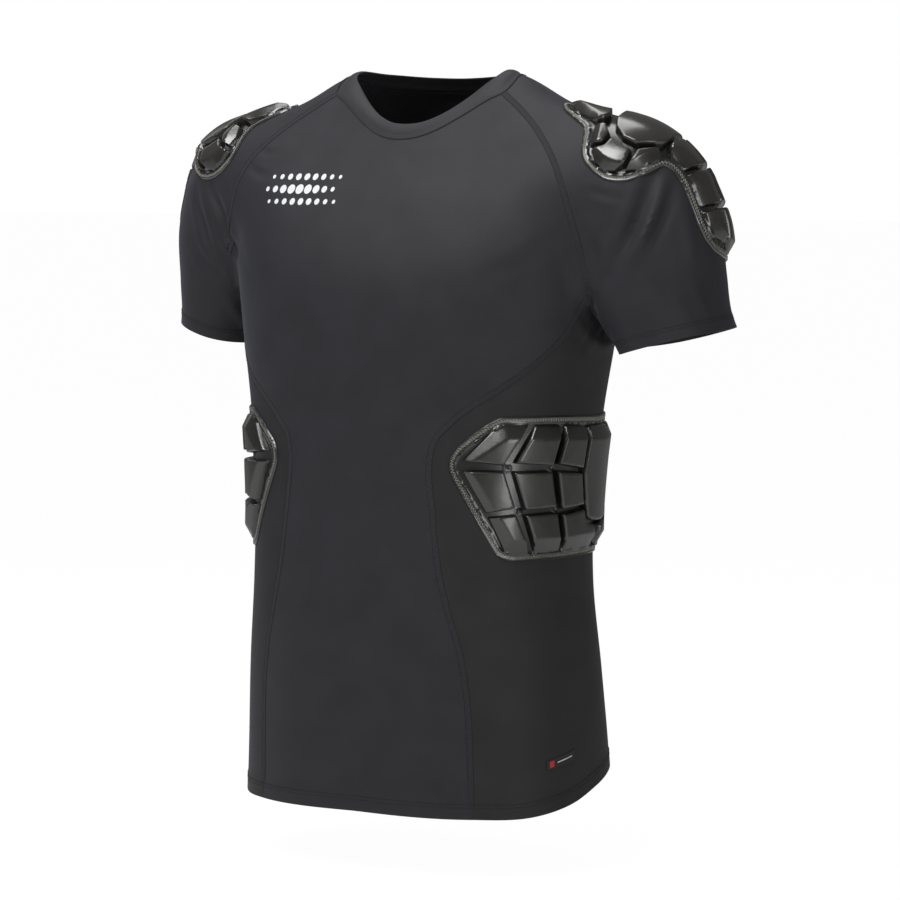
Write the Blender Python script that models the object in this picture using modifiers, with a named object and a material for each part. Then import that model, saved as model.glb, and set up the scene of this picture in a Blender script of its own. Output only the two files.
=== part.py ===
"""Short-sleeved padded compression shirt, filled out as if worn, with nobody in it.

The origin is level with the side of the neck, midway between the shoulders, where a
wearer holds the shirt up. +X is the wearer's left, -Y the front, +Z up. Tables are in
millimetres and degrees; angles round the body run from 0 at the front to 180 behind.
"""
import math

import bmesh
import bpy
import numpy as np
from mathutils import Vector
from mathutils.geometry import delaunay_2d_cdt

MM = 0.001

# Driving dimensions of the shirt
BODY_LENGTH = 666
HALF_CHEST = 188
HALF_DEPTH = 124
SHOULDER_SLOPE = 17.2
SHOULDER_DROP = 15.3
SLEEVE_LENGTH = 319
CUFF_OUTER_DROP = 11
CUFF_FRONT_DROP = 4
CLOTH_WALL = 1.5
BAND_WALL = 2.0
SEAM_GAP = 0.3
PANEL_STEP = 23
SLEEVE_STEP = 21

# The figure that the cloth fits, ring by ring
FIGURE_RINGS = np.array([
    # height, half_width, front, back, middle, squareness
    (-1.17 * BODY_LENGTH, 0.947 * HALF_CHEST, 1.000 * HALF_DEPTH, 0.935 * HALF_DEPTH, 4, 2.4),
    (-1.05 * BODY_LENGTH, 0.947 * HALF_CHEST, 1.000 * HALF_DEPTH, 0.935 * HALF_DEPTH, 4, 2.4),
    (-0.93 * BODY_LENGTH, 0.926 * HALF_CHEST, 1.015 * HALF_DEPTH, 0.895 * HALF_DEPTH, 4, 2.4),
    (-0.81 * BODY_LENGTH, 0.904 * HALF_CHEST, 1.015 * HALF_DEPTH, 0.806 * HALF_DEPTH, 2, 2.4),
    (-0.69 * BODY_LENGTH, 0.872 * HALF_CHEST, 1.000 * HALF_DEPTH, 0.742 * HALF_DEPTH, 0, 2.4),
    (-0.57 * BODY_LENGTH, 0.872 * HALF_CHEST, 0.968 * HALF_DEPTH, 0.782 * HALF_DEPTH, 0, 2.4),
    (-0.45 * BODY_LENGTH, 0.910 * HALF_CHEST, 0.944 * HALF_DEPTH, 0.887 * HALF_DEPTH, 0, 2.4),
    (-0.36 * BODY_LENGTH, 0.957 * HALF_CHEST, 0.935 * HALF_DEPTH, 0.984 * HALF_DEPTH, 0, 2.4),
    (-0.27 * BODY_LENGTH, 0.989 * HALF_CHEST, 0.871 * HALF_DEPTH, 1.000 * HALF_DEPTH, 0, 2.6),
    (-0.18 * BODY_LENGTH, 1.000 * HALF_CHEST, 0.677 * HALF_DEPTH, 1.000 * HALF_DEPTH, 2, 3.2),
    (-0.105 * BODY_LENGTH, 1.000 * HALF_CHEST, 0.452 * HALF_DEPTH, 0.903 * HALF_DEPTH, 4, 3.8),
    (-0.045 * BODY_LENGTH, 0.957 * HALF_CHEST, 0.290 * HALF_DEPTH, 0.758 * HALF_DEPTH, 6, 3.8),
    (0.015 * BODY_LENGTH, 0.904 * HALF_CHEST, 0.210 * HALF_DEPTH, 0.597 * HALF_DEPTH, 8, 3.4),
    (0.075 * BODY_LENGTH, 0.851 * HALF_CHEST, 0.161 * HALF_DEPTH, 0.468 * HALF_DEPTH, 10, 3.0),
])

# The upper arm, from inside the shoulder to just past the cuff
ARM_TOP = np.array((188.0, 20.0, -140.0))
ARM_CUFF = np.array((238.0, 40.0, -242.0))
ARM_RINGS = np.array([
    # share_of_length, outer, inner, half_depth
    (0.00, 97, 68, 64),
    (0.35, 91, 54, 66),
    (0.70, 72.5, 40, 65),
    (1.00, 57.5, 41, 62),
    (1.30, 52.5, 40, 62),
])

# Line inside the shoulder and arm that the sleeve is laid out from
SLEEVE_LINE = np.array([
    # along, x, y, z, tilt
    (-40, 56, 12, -47, 19),
    (0, 94, 12, -60, 19),
    (70, 148, 14, -85, 26),
    (130, 178, 20, -108, 46),
    (190, 195, 26, -140, 61),
    (250, 215, 32, -186, 67),
    (320, 238, 40, -242, 67),
    (350, 248, 44, -266, 67),
])

# Seam round the neck, from the middle of the front to the middle of the back
NECK_SEAM = [
    # out, back, up
    (0, -44.5, -59),
    (17, -43, -57.5),
    (33, -39, -52),
    (50, -32, -43),
    (64, -26, -34),
    (80, -18, -23.5),
    (91, -12.5, -18),
    (95, -2, -7),
    (94, 10, -1),
    (91, 23, -4),
    (85, 38, -8),
    (66, 55, -13),
    (45, 64, -17),
    (22, 68, -19),
    (0, 69, -20),
]
NECK_FRONT_CORNER = 6
NECK_BACK_CORNER = 10

# Seam between sleeve and body, from the neck down the front, under the arm, up the back
ARMHOLE_SEAM = [
    # out, back, up
    (91, -12.5, -18),
    (111, -22, -29),
    (131, -32, -42),
    (152, -44, -60),
    (168, -52, -80),
    (178, -53, -103),
    (184, -50, -126),
    (189, -44, -150),
    (193, -36, -176),
    (196, -28, -196),
    (189, -14, -208.5),
    (187, 4, -221.5),
    (185, 20, -226),
    (183, 33, -224),
    (180, 46, -216),
    (175, 61, -201),
    (171, 77, -174),
    (166, 90, -138),
    (159, 97, -106),
    (147, 93, -76),
    (129, 78, -46),
    (107, 58, -22),
    (85, 38, -8),
]
UNDERARM_FRONT = 9
UNDERARM_MIDDLE = 13
UNDERARM_BACK = 15

# Curved seam between front and side, below the underarm; the back seam mirrors it
SIDE_SEAM = [
    # angle, height
    (78, -226),
    (68, -257),
    (57, -281),
    (48, -297),
    (40.5, -314),
    (36.5, -325),
    (34.5, -340),
    (34, -358),
    (35, -382),
    (36, -412),
    (38, -450),
    (41, -482),
    (44.5, -515),
    (47, -560),
    (48, -610),
    (48.5, -665),
]
SIDE_MIDDLE = 97

# Lower edge of the shirt
HEM_LINE = np.array([
    # angle, height
    (0, -664),
    (48.5, -665),
    (66, -664),
    (80, -656),
    (94, -643),
    (106, -633),
    (120, -628),
    (145.5, -630),
    (180, -638),
])

# Free edge of the collar band, from the middle of the front to the middle of the back
BAND_EDGE = [
    # out, back, up
    (0, -35, -46),
    (16, -33.5, -44.5),
    (31, -29, -39),
    (46, -22, -30),
    (58, -15, -20.5),
    (70, -7.5, -9.5),
    (77, -2, -3),
    (79.5, 5, 1),
    (79.5, 13, 3),
    (77, 23, 2.5),
    (71, 34, 1),
    (57, 47, -0.5),
    (40, 55, -2),
    (20, 59, -3),
    (0, 60, -3.5),
]

# Moulded pads: a thin sewn-down flange with raised cells
PAD_LIFT = 1.6
UNDERSIDE_STEP = 10.5
FLANGE_WALL = 1.8
CELL_RISE = 8.2
CELL_SHOULDER_IN = 0.8
CELL_SHOULDER_SHARE = 0.72
CELL_TOP_IN = 2.6

# Rib pad in degrees round the body and millimetres of height, front half
RIB_OUTLINE = [
    (97, -308), (76, -305), (58, -305), (54, -311), (48.8, -321.5), (43.5, -333), (41.3, -343), (41.2, -352),
    (42.6, -361), (45.2, -373.5), (48.8, -391), (52.4, -409), (56.5, -430), (61, -434.5), (76, -434), (97, -433),
]
RIB_CELLS = [
    [(46.0, -344), (57.2, -312), (66.2, -312), (58.6, -347.5)],
    [(46.0, -352.5), (58.7, -353), (62.2, -386.5), (53.4, -390)],
    [(54.0, -394), (62.4, -392), (66.8, -428.5), (59.4, -427)],
    [(68.4, -313), (77.0, -313.5), (73.8, -348.5), (61.8, -346)],
    [(61.3, -353.5), (73.4, -354), (75.6, -386.5), (65.0, -388)],
    [(65.0, -392.5), (75.8, -391.5), (78.0, -428.5), (69.0, -428.5)],
    [(79.2, -314), (88.2, -316), (86.4, -353.3), (75.8, -347.5)],
    [(75.7, -353.8), (86.0, -356.8), (87.7, -386.5), (77.9, -388.5)],
    [(78.1, -393.5), (88.2, -390.6), (89.2, -403.3), (94.6, -407), (94.6, -427.5), (80.2, -428.5)],
]
RIB_CENTRE_CELL = [
    (90.4, -316.5), (103.6, -316.5), (104.6, -328), (106.3, -357), (103.6, -399.5), (99.2, -402.5),
    (94.8, -402.5), (90.4, -399.5), (87.7, -357), (89.4, -328),
]
RIB_MM_PER_DEGREE = 2.88

# Shoulder pad in millimetres along the sleeve and degrees round it, front half
PAD_TURN = -18
REAR_SHARE = 0.70
CAP_OUTLINE = [
    (92, 0), (91, 12), (82, 19), (60, 19.5), (46, 22.5), (39, 30), (43, 37), (52, 45), (70, 51.5), (84, 55),
    (91, 62), (98, 70), (106, 77.5), (116, 81.5), (135, 81.5), (150, 77.5), (160, 71.5), (167, 64),
    (169.5, 54), (169, 46), (168, 40.5), (176, 37.5), (194, 36.5), (227, 36), (243, 33), (254, 25.5),
    (259, 13), (260, 0),
]
CAP_CELLS = [
    [(49, 33), (53, 26.5), (82, 25.5), (92, 28), (97.5, 37), (96.5, 43.5), (90, 47.5), (67, 45)],
    [(99, 2), (99, 20), (102.5, 30), (105.5, 39), (113, 46), (127, 50), (139, 47.5), (147.5, 39.5), (152, 33),
     (146, 18), (144, 2)],
    [(96.5, 53), (103.5, 48), (114.5, 53), (117, 61.5), (109.5, 69), (101, 62)],
    [(119.5, 55.5), (133.5, 54.5), (141.5, 52), (150.3, 60), (150, 68.5), (141, 74), (126, 75.3), (113.5, 71.5),
     (121.5, 63)],
    [(145.5, 49.5), (153.5, 38.5), (161.5, 39.5), (164, 44.5), (161, 56.5), (157, 63)],
    [(150, 17.5), (154, 31), (164, 34.5), (180, 31.5), (180, 17.5)],
    [(184.5, 17.5), (184.5, 31), (214.5, 30.5), (214.5, 17.5)],
    [(219, 17.5), (219, 30), (239, 29), (247, 17.5)],
]
CAP_CENTRE_CELLS = [
    [(149.5, -13), (149.5, 13), (176, 13), (176, -13)],
    [(180.5, -13), (180.5, 13), (212, 13), (212, -13)],
    [(216.5, -13), (216.5, 13), (245, 13), (253, 5), (253, -5), (245, -13)],
]
CAP_MM_PER_DEGREE = 1.25


# Clear the scene and open the part's own collection
def start_collection(name):
    for old in list(bpy.data.objects):
        bpy.data.objects.remove(old, do_unlink=True)
    collection = bpy.data.collections.new(name)
    bpy.context.scene.collection.children.link(collection)
    return collection


def plain_material(name, colour, roughness):
    material = bpy.data.materials.new(name)
    material.use_nodes = True
    shader = material.node_tree.nodes["Principled BSDF"]
    shader.inputs["Base Color"].default_value = (*colour, 1.0)
    shader.inputs["Roughness"].default_value = roughness
    shader.inputs["Metallic"].default_value = 0.0
    return material


# Reading tables and blending shapes
def read(table, column, at):
    keys = table[:, 0]
    values = table[:, column]
    slopes = np.gradient(values, keys)
    at = np.clip(at, keys[0], keys[-1])
    row = np.clip(np.searchsorted(keys, at, side="right") - 1, 0, len(keys) - 2)
    gap = keys[row + 1] - keys[row]
    t = (at - keys[row]) / gap
    rise = (2 * t ** 3 - 3 * t ** 2 + 1) * values[row] + (3 * t ** 2 - 2 * t ** 3) * values[row + 1]
    bend = (t ** 3 - 2 * t ** 2 + t) * slopes[row] + (t ** 3 - t ** 2) * slopes[row + 1]
    return rise + gap * bend


def smooth_max(a, b, width):
    share = np.clip(0.5 + 0.5 * (a - b) / width, 0, 1)
    return b * (1 - share) + a * share + width * share * (1 - share)


def ease(value):
    value = np.clip(value, 0, 1)
    return value * value * (3 - 2 * value)


# The figure: how far a point in millimetres is outside it, roughly
def body_distance(points):
    height = points[:, 2]
    half_width, front, back, middle, squareness = (read(FIGURE_RINGS, c, height) for c in range(1, 6))
    x = np.abs(points[:, 0]) + 1e-6
    y = points[:, 1] - middle
    depth = np.where(y < 0, front, back)
    reach = np.hypot(x, y)
    edge = ((x / reach / half_width) ** squareness
            + (np.abs(y) / reach / depth + 1e-9) ** squareness) ** (-1 / squareness)
    return reach - edge


def shoulder_distance(points):
    out = np.hypot(points[:, 0], 30)
    far = ease((out - 85) / 85)
    past_neck = ease((out - 95) / 70)
    ridge = 4 - (out - 80) * math.tan(math.radians(SHOULDER_SLOPE)) - SHOULDER_DROP * past_neck
    from_ridge = points[:, 1] - 14
    steepness = np.where(from_ridge < 0, 1.10 - 0.55 * far, 0.62 - 0.10 * far)
    softness = 14 + 22 * far
    return points[:, 2] - ridge + steepness * (np.hypot(from_ridge, softness) - softness)


def arm_distance(points):
    line = ARM_CUFF - ARM_TOP
    length = np.linalg.norm(line)
    down = line / length
    outward = np.cross(down, (0.0, 1.0, 0.0))
    outward = -outward / np.linalg.norm(outward)
    outward = outward * np.sign(outward[0])
    forward = np.cross(down, outward)
    from_top = np.abs(points * (1, 0, 0)) + points * (0, 1, 1) - ARM_TOP
    along = from_top @ down
    share = along / length
    u = from_top @ outward
    v = from_top @ forward
    half_width = np.where(u > 0, read(ARM_RINGS, 1, share), read(ARM_RINGS, 2, share))
    half_depth = read(ARM_RINGS, 3, share)
    past_top = np.minimum(along, 0) / read(ARM_RINGS, 1, share)
    scaled = np.sqrt((u / half_width) ** 2 + (v / half_depth) ** 2 + past_top ** 2 + 1e-12)
    return (scaled - 1) * np.minimum(half_width, half_depth)


def figure_distance(points):
    body = smooth_max(body_distance(points), shoulder_distance(points), 45)
    blend = 18 + 15 * ease((points[:, 2] + 190) / 90)
    return -smooth_max(-body, -arm_distance(points), blend)


def cast(starts, directions, reach=300, steps=75, distance=figure_distance):
    """Where straight lines from inside the figure, or one part of it, first leave it."""
    directions = directions / np.linalg.norm(directions, axis=1, keepdims=True)
    inner = np.zeros(len(starts))
    outer = np.full(len(starts), float(reach))
    crossed = np.zeros(len(starts), bool)
    for step in np.linspace(0, reach, steps + 1)[1:]:
        outside = distance(starts + directions * step) > 0
        fresh = outside & ~crossed
        outer[fresh] = step
        inner[fresh] = step - reach / steps
        crossed |= outside
    for _ in range(22):
        middle = (inner + outer) / 2
        outside = distance(starts + directions * middle[:, None]) > 0
        outer = np.where(outside, middle, outer)
        inner = np.where(outside, inner, middle)
    return starts + directions * outer[:, None]


def outward_at(points):
    small = 0.8
    slope = np.stack([figure_distance(points + small * axis) - figure_distance(points - small * axis)
                      for axis in np.eye(3)], axis=1)
    return slope / np.linalg.norm(slope, axis=1, keepdims=True)


def snap(points):
    for _ in range(12):
        points = points - outward_at(points) * figure_distance(points)[:, None] * 0.8
    return points


# Ways of laying flat places on the figure
def around_body(flat):
    """Flat places as degrees round the body and height."""
    turn = np.radians(flat[:, 0])
    starts = np.column_stack([turn * 0, turn * 0, flat[:, 1]])
    return snap(cast(starts, np.column_stack([np.sin(turn), -np.cos(turn), turn * 0]),
                     distance=body_distance))


def side_place(flat):
    return around_body(np.column_stack([flat[:, 0] / RIB_MM_PER_DEGREE + SIDE_MIDDLE, flat[:, 1]]))


def side_flat(points):
    turn = np.degrees(np.arctan2(points[:, 0], -points[:, 1]))
    return np.column_stack([(turn - SIDE_MIDDLE) * RIB_MM_PER_DEGREE, points[:, 2]])


BEND_HEIGHT = -100
BEND_REACH = 90
INNER_Y = 10


def face_place(flat, facing):
    """Straight forward or back from inside, tilting upward above the bend height."""
    tilt = np.maximum(flat[:, 1] - BEND_HEIGHT, 0) / BEND_REACH
    starts = np.column_stack([flat[:, 0], tilt * 0 + INNER_Y, np.minimum(flat[:, 1], BEND_HEIGHT)])
    return cast(starts, np.column_stack([tilt * 0, facing * np.cos(tilt), np.sin(tilt)]))


def face_flat(points, facing):
    tilt = np.arctan2(points[:, 2] - BEND_HEIGHT, facing * (points[:, 1] - INNER_Y))
    height = np.where(points[:, 2] > BEND_HEIGHT, BEND_HEIGHT + BEND_REACH * tilt, points[:, 2])
    return np.column_stack([points[:, 0], height])


ARM_ALONE_FROM = 200


def sleeve_frame(along):
    origin = np.column_stack([read(SLEEVE_LINE, c, along) for c in (1, 2, 3)])
    tilt = np.radians(read(SLEEVE_LINE, 4, along))
    upward = np.column_stack([np.sin(tilt), tilt * 0, np.cos(tilt)])
    onward = np.column_stack([np.cos(tilt), tilt * 0, -np.sin(tilt)])
    return origin, upward, onward


def sleeve_place(flat):
    origin, upward, onward = sleeve_frame(flat[:, 0])
    turn = np.radians(flat[:, 1] / CAP_MM_PER_DEGREE)[:, None]
    direction = np.cos(turn) * upward + np.sin(turn) * np.array((0, -1, 0))
    whole = cast(origin, direction, 200, 80)
    limb = cast(origin, direction, 200, 80, arm_distance)
    return np.where(flat[:, :1] > ARM_ALONE_FROM, snap(limb), whole)


def cuff_along(across):
    """Where the cuff ends at each place round the arm: lower outside and in front."""
    turn = np.radians(across / CAP_MM_PER_DEGREE)
    return SLEEVE_LENGTH + CUFF_OUTER_DROP * np.cos(turn) + CUFF_FRONT_DROP * np.sin(turn)


def sleeve_flat(points):
    places = np.linspace(-40, 350, 781)
    origin, upward, onward = sleeve_frame(places)
    offset = points[:, None, :] - origin[None, :, :]
    ahead = (offset * onward[None, :, :]).sum(axis=2)
    away = np.linalg.norm(offset, axis=2)
    crossing = (ahead[:, :-1] >= 0) & (ahead[:, 1:] < 0)
    chosen = np.where(crossing, away[:, :-1], 1e9).argmin(axis=1)
    rows = np.arange(len(points))
    share = ahead[rows, chosen] / (ahead[rows, chosen] - ahead[rows, chosen + 1])
    along = places[chosen] + share * (places[1] - places[0])
    rise = (offset[rows, chosen] * upward[chosen]).sum(axis=1)
    turn = np.degrees(np.arctan2(-offset[rows, chosen, 1], rise))
    return np.column_stack([along, turn * CAP_MM_PER_DEGREE])


# Seams: smooth curves through their tables, cut into pieces at named rows
def seam_pieces(guide, stops, step, on_figure=True):
    """Even points between the named rows; a row on the middle line is crossed squarely."""
    guide = np.array(guide, float)
    if guide[0, 0] == 0:
        guide = np.vstack([guide[1] * (-1, 1, 1), guide])
        stops = [stop + 1 for stop in stops]
    if guide[-1, 0] == 0:
        guide = np.vstack([guide, guide[-2] * (-1, 1, 1)])
    run = np.concatenate([[0], np.cumsum(np.linalg.norm(np.diff(guide, axis=0), axis=1))])
    table = np.column_stack([run, guide])
    pieces = []
    for first, last in zip(stops[:-1], stops[1:]):
        count = max(2, round((run[last] - run[first]) / step))
        at = np.linspace(run[first], run[last], count + 1)
        points = np.column_stack([read(table, c, at) for c in (1, 2, 3)])
        pieces.append(snap(points) if on_figure else points)
    return pieces


def side_seam_guide(behind):
    turns = np.array([row[0] for row in SIDE_SEAM], float)
    heights = np.array([row[1] for row in SIDE_SEAM], float)
    if behind:
        turns = 2 * SIDE_MIDDLE - turns
    heights[-1] = read(HEM_LINE, 1, turns[-1:])[0]
    below = around_body(np.column_stack([turns, heights]))
    corner = UNDERARM_BACK if behind else UNDERARM_FRONT
    return np.vstack([snap(np.array([ARMHOLE_SEAM[corner]], float)), below])


def hem_piece(first_turn, last_turn, step):
    count = max(2, round(abs(last_turn - first_turn) * RIB_MM_PER_DEGREE / step))
    turns = np.linspace(first_turn, last_turn, count + 1)
    return around_body(np.column_stack([turns, read(HEM_LINE, 1, turns)]))


def sideways(points, amount):
    """Move a seam's points along the cloth, to the seam's left for a positive amount."""
    along = np.gradient(points, axis=0)
    across = np.cross(outward_at(points), along)
    return across / np.linalg.norm(across, axis=1, keepdims=True) * amount


# Panels: an outline of seam pieces, filled with points laid on the figure
def outline_of(borders):
    """Join borders given as (points, move) end to end, adding both moves at a corner."""
    ring = []
    for number, (points, move) in enumerate(borders):
        before_move = borders[number - 1][1][-1]
        moved = points + move
        moved[0] = points[0] + move[0] + before_move
        ring.append(moved[:-1])
    return np.vstack(ring)


def inside_outline(flat, ring):
    ends = np.roll(ring, -1, axis=0)
    within = np.zeros(len(flat), bool)
    for a, b in zip(ring, ends):
        spans = (a[1] > flat[:, 1]) != (b[1] > flat[:, 1])
        crossing = a[0] + (flat[:, 1] - a[1]) * (b[0] - a[0]) / (b[1] - a[1] + 1e-12)
        within ^= spans & (flat[:, 0] < crossing)
    return within


def clearance(flat, ring):
    ends = np.roll(ring, -1, axis=0)
    nearest = np.full(len(flat), 1e9)
    for a, b in zip(ring, ends):
        span = b - a
        share = np.clip((flat - a) @ span / (span @ span + 1e-12), 0, 1)
        nearest = np.minimum(nearest, np.linalg.norm(flat - a - share[:, None] * span, axis=1))
    return nearest


def even_places(ring, step):
    low = ring.min(axis=0)
    high = ring.max(axis=0)
    columns = np.arange(low[0], high[0] + step, step)
    rows = np.arange(low[1], high[1] + step * 0.87, step * 0.87)
    places = [(x + (number % 2) * step / 2, y) for number, y in enumerate(rows) for x in columns]
    places = np.array(places)
    return places[inside_outline(places, ring)]


def triangles_of(flat, loops):
    edges = []
    for loop in loops:
        edges += [(loop[i], loop[(i + 1) % len(loop)]) for i in range(len(loop))]
    result = delaunay_2d_cdt([Vector(p) for p in flat], edges, [], 0, 1e-5, True)
    faces = np.array([[result[3][i][0] for i in face] for face in result[2]])
    flat = np.array(flat)
    corners = flat[faces]
    first = corners[:, 1] - corners[:, 0]
    second = corners[:, 2] - corners[:, 0]
    area = np.abs(first[:, 0] * second[:, 1] - first[:, 1] * second[:, 0])
    wanted = inside_outline(corners.mean(axis=1), flat[loops[0]]) & (area > 0.01)
    return faces[wanted].tolist()


def mesh_object(collection, name, points, faces, material):
    mesh = bpy.data.meshes.new(name)
    mesh.from_pydata([tuple(p * MM) for p in points], [], faces)
    work = bmesh.new()
    work.from_mesh(mesh)
    loose = [vert for vert in work.verts if not vert.link_faces]
    bmesh.ops.delete(work, geom=loose, context="VERTS")
    work.to_mesh(mesh)
    work.free()
    mesh.materials.append(material)
    item = bpy.data.objects.new(name, mesh)
    collection.objects.link(item)
    return item


def add_wall(item, thickness):
    wall = item.modifiers.new("wall", "SOLIDIFY")
    wall.thickness = thickness * MM
    wall.offset = 0.0
    wall.use_even_offset = True


def add_mirror(item):
    mirror = item.modifiers.new("other half", "MIRROR")
    mirror.merge_threshold = 0.0001


def faced_outward(points, faces):
    corners = points[np.array(faces)]
    facing = np.cross(corners[:, 1] - corners[:, 0], corners[:, 2] - corners[:, 0])
    if np.sum(facing * outward_at(corners.mean(axis=1))) < 0:
        return [face[::-1] for face in faces]
    return faces


def cloth_panel(collection, name, borders, to_flat, to_figure, material, halved, flat_ring=None,
                step=PANEL_STEP):
    """Fill an outline, then move the same points out and in for the wall's two skins.

    Both panels at a seam share its points and their outward lines, so the edges run side by side.
    """
    ring = outline_of(borders)
    flat_ring = to_flat(ring) if flat_ring is None else flat_ring(ring)
    inner = even_places(flat_ring, step)
    inner = inner[clearance(inner, flat_ring) > 0.5 * step]
    points = np.vstack([ring, to_figure(inner)])
    flat = np.vstack([flat_ring, inner])
    skin = faced_outward(points, triangles_of(flat, [list(range(len(ring)))]))
    half_wall = outward_at(points) * CLOTH_WALL / 2
    half_wall[np.abs(points[:, 0]) < 0.001, 0] = 0
    count = len(points)
    faces = skin + [[i + count for i in reversed(face)] for face in skin]
    joined = {(a, b) for face in skin for a, b in zip(face, face[1:] + face[:1])}
    for a, b in joined:
        if (b, a) not in joined and not (halved and abs(points[a, 0]) + abs(points[b, 0]) < 0.001):
            faces.append([b, a, a + count, b + count])
    item = mesh_object(collection, name, np.vstack([points + half_wall, points - half_wall]), faces, material)
    if halved:
        add_mirror(item)
    return item


def mirrored_copy(collection, item, name):
    mesh = item.data.copy()
    mesh.name = name
    for vert in mesh.vertices:
        vert.co.x = -vert.co.x
    mesh.flip_normals()
    twin = bpy.data.objects.new(name, mesh)
    collection.objects.link(twin)
    return twin


# Pads: loops stepped inward and upward from a flat outline
def rounded(corners, radius, step):
    """Cut the corners off a polygon and split its long sides."""
    corners = np.array(corners, float)
    ring = []
    for number in range(len(corners)):
        corner = corners[number]
        for other in (corners[number - 1], corners[(number + 1) % len(corners)]):
            span = other - corner
            length = np.linalg.norm(span)
            ring.append(corner + span / length * min(radius, 0.3 * length))
    result = []
    for number, point in enumerate(ring):
        following = ring[(number + 1) % len(ring)]
        count = max(1, round(np.linalg.norm(following - point) / step))
        result += [point + (following - point) * i / count for i in range(count)]
    return np.array(result)


def stepped_in(ring, amount):
    before = np.roll(ring, 1, axis=0)
    after = np.roll(ring, -1, axis=0)
    area = np.sum(ring[:, 0] * after[:, 1] - after[:, 0] * ring[:, 1])
    first = (ring - before) / np.linalg.norm(ring - before, axis=1, keepdims=True)
    second = (after - ring) / np.linalg.norm(after - ring, axis=1, keepdims=True)
    sign = 1 if area > 0 else -1
    first_in = sign * np.column_stack([-first[:, 1], first[:, 0]])
    second_in = sign * np.column_stack([-second[:, 1], second[:, 0]])
    middle = first_in + second_in
    return ring + middle * (amount * 2 / np.sum(middle * middle, axis=1))[:, None]


def moulded_pad(collection, name, outline, cells, to_figure, rise, material):
    edge = rounded(outline, 4, 13)
    loops = [edge]
    heights = [FLANGE_WALL]
    tops = []
    for cell in cells:
        foot = rounded(cell, 4, 16)
        loops += [foot, stepped_in(foot, CELL_SHOULDER_IN), stepped_in(foot, CELL_TOP_IN)]
        heights += [FLANGE_WALL, FLANGE_WALL + CELL_SHOULDER_SHARE * rise, FLANGE_WALL + rise]
        tops.append(loops[-1])
    flat = []
    lifts = []
    numbers = []
    for loop, height in zip(loops, heights):
        numbers.append(list(range(len(flat), len(flat) + len(loop))))
        flat += list(loop)
        lifts += [height] * len(loop)
    extra = even_places(edge, 14)
    free = np.min([clearance(extra, loop) for loop in loops], axis=0) > 3.5
    extra = extra[free]
    on_top = np.any([inside_outline(extra, top) for top in tops], axis=0)
    in_cell = np.any([inside_outline(extra, loop) for loop in loops[1::3]], axis=0)
    for place, top, cell in zip(extra, on_top, in_cell):
        if top or not cell:
            flat.append(place)
            lifts.append(FLANGE_WALL + rise if top else FLANGE_WALL)
    upper_faces = triangles_of(flat, numbers)
    beneath = even_places(edge, UNDERSIDE_STEP)
    under = list(edge) + list(beneath[clearance(beneath, edge) > 0.44 * UNDERSIDE_STEP])
    under_faces = triangles_of(under, [list(range(len(edge)))])
    base = to_figure(np.array(flat + under))
    lifts = np.array(lifts + [0.0] * len(under)) + PAD_LIFT
    points = base + outward_at(base) * lifts[:, None]
    start = len(flat)
    count = len(edge)
    faces = faced_outward(points, upper_faces)
    turned = faces[0] != upper_faces[0]
    faces = list(faces)
    faces += [[start + i for i in (face if turned else face[::-1])] for face in under_faces]
    walls = [[start + i, start + (i + 1) % count, (i + 1) % count, i] for i in range(count)]
    edge_turns = np.sum(edge[:, 0] * np.roll(edge[:, 1], -1) - np.roll(edge[:, 0], -1) * edge[:, 1])
    faces += walls if (edge_turns > 0) != turned else [wall[::-1] for wall in walls]
    return mesh_object(collection, name, points, faces, material)


def rib_pad(collection, name, material):
    def spread(places):
        places = np.array(places, float)
        return np.column_stack([(places[:, 0] - SIDE_MIDDLE) * RIB_MM_PER_DEGREE, places[:, 1]])

    front = spread(RIB_OUTLINE)
    outline = np.vstack([front, (front * (-1, 1))[-2:0:-1]])
    cells = [spread(cell) for cell in RIB_CELLS]
    cells += [(cell * (-1, 1))[::-1] for cell in cells]
    cells.append(spread(RIB_CENTRE_CELL))
    return moulded_pad(collection, name, outline, cells, side_place, CELL_RISE, material)


def shoulder_pad(collection, name, material):
    def spread(places, behind=False):
        places = np.array(places, float)
        turn = places[:, 1]
        if behind:
            turn = -np.where(turn > 12.5, 12.5 + (turn - 12.5) * REAR_SHARE, turn)
        return np.column_stack([places[:, 0], (turn + PAD_TURN) * CAP_MM_PER_DEGREE])

    outline = np.vstack([spread(CAP_OUTLINE), spread(CAP_OUTLINE, True)[-2:0:-1]])
    cells = [spread(cell) for cell in CAP_CELLS]
    cells += [spread(cell, True)[::-1] for cell in CAP_CELLS]
    cells += [spread(cell) for cell in CAP_CENTRE_CELLS]
    return moulded_pad(collection, name, outline, cells, sleeve_place, CELL_RISE, material)


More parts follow.
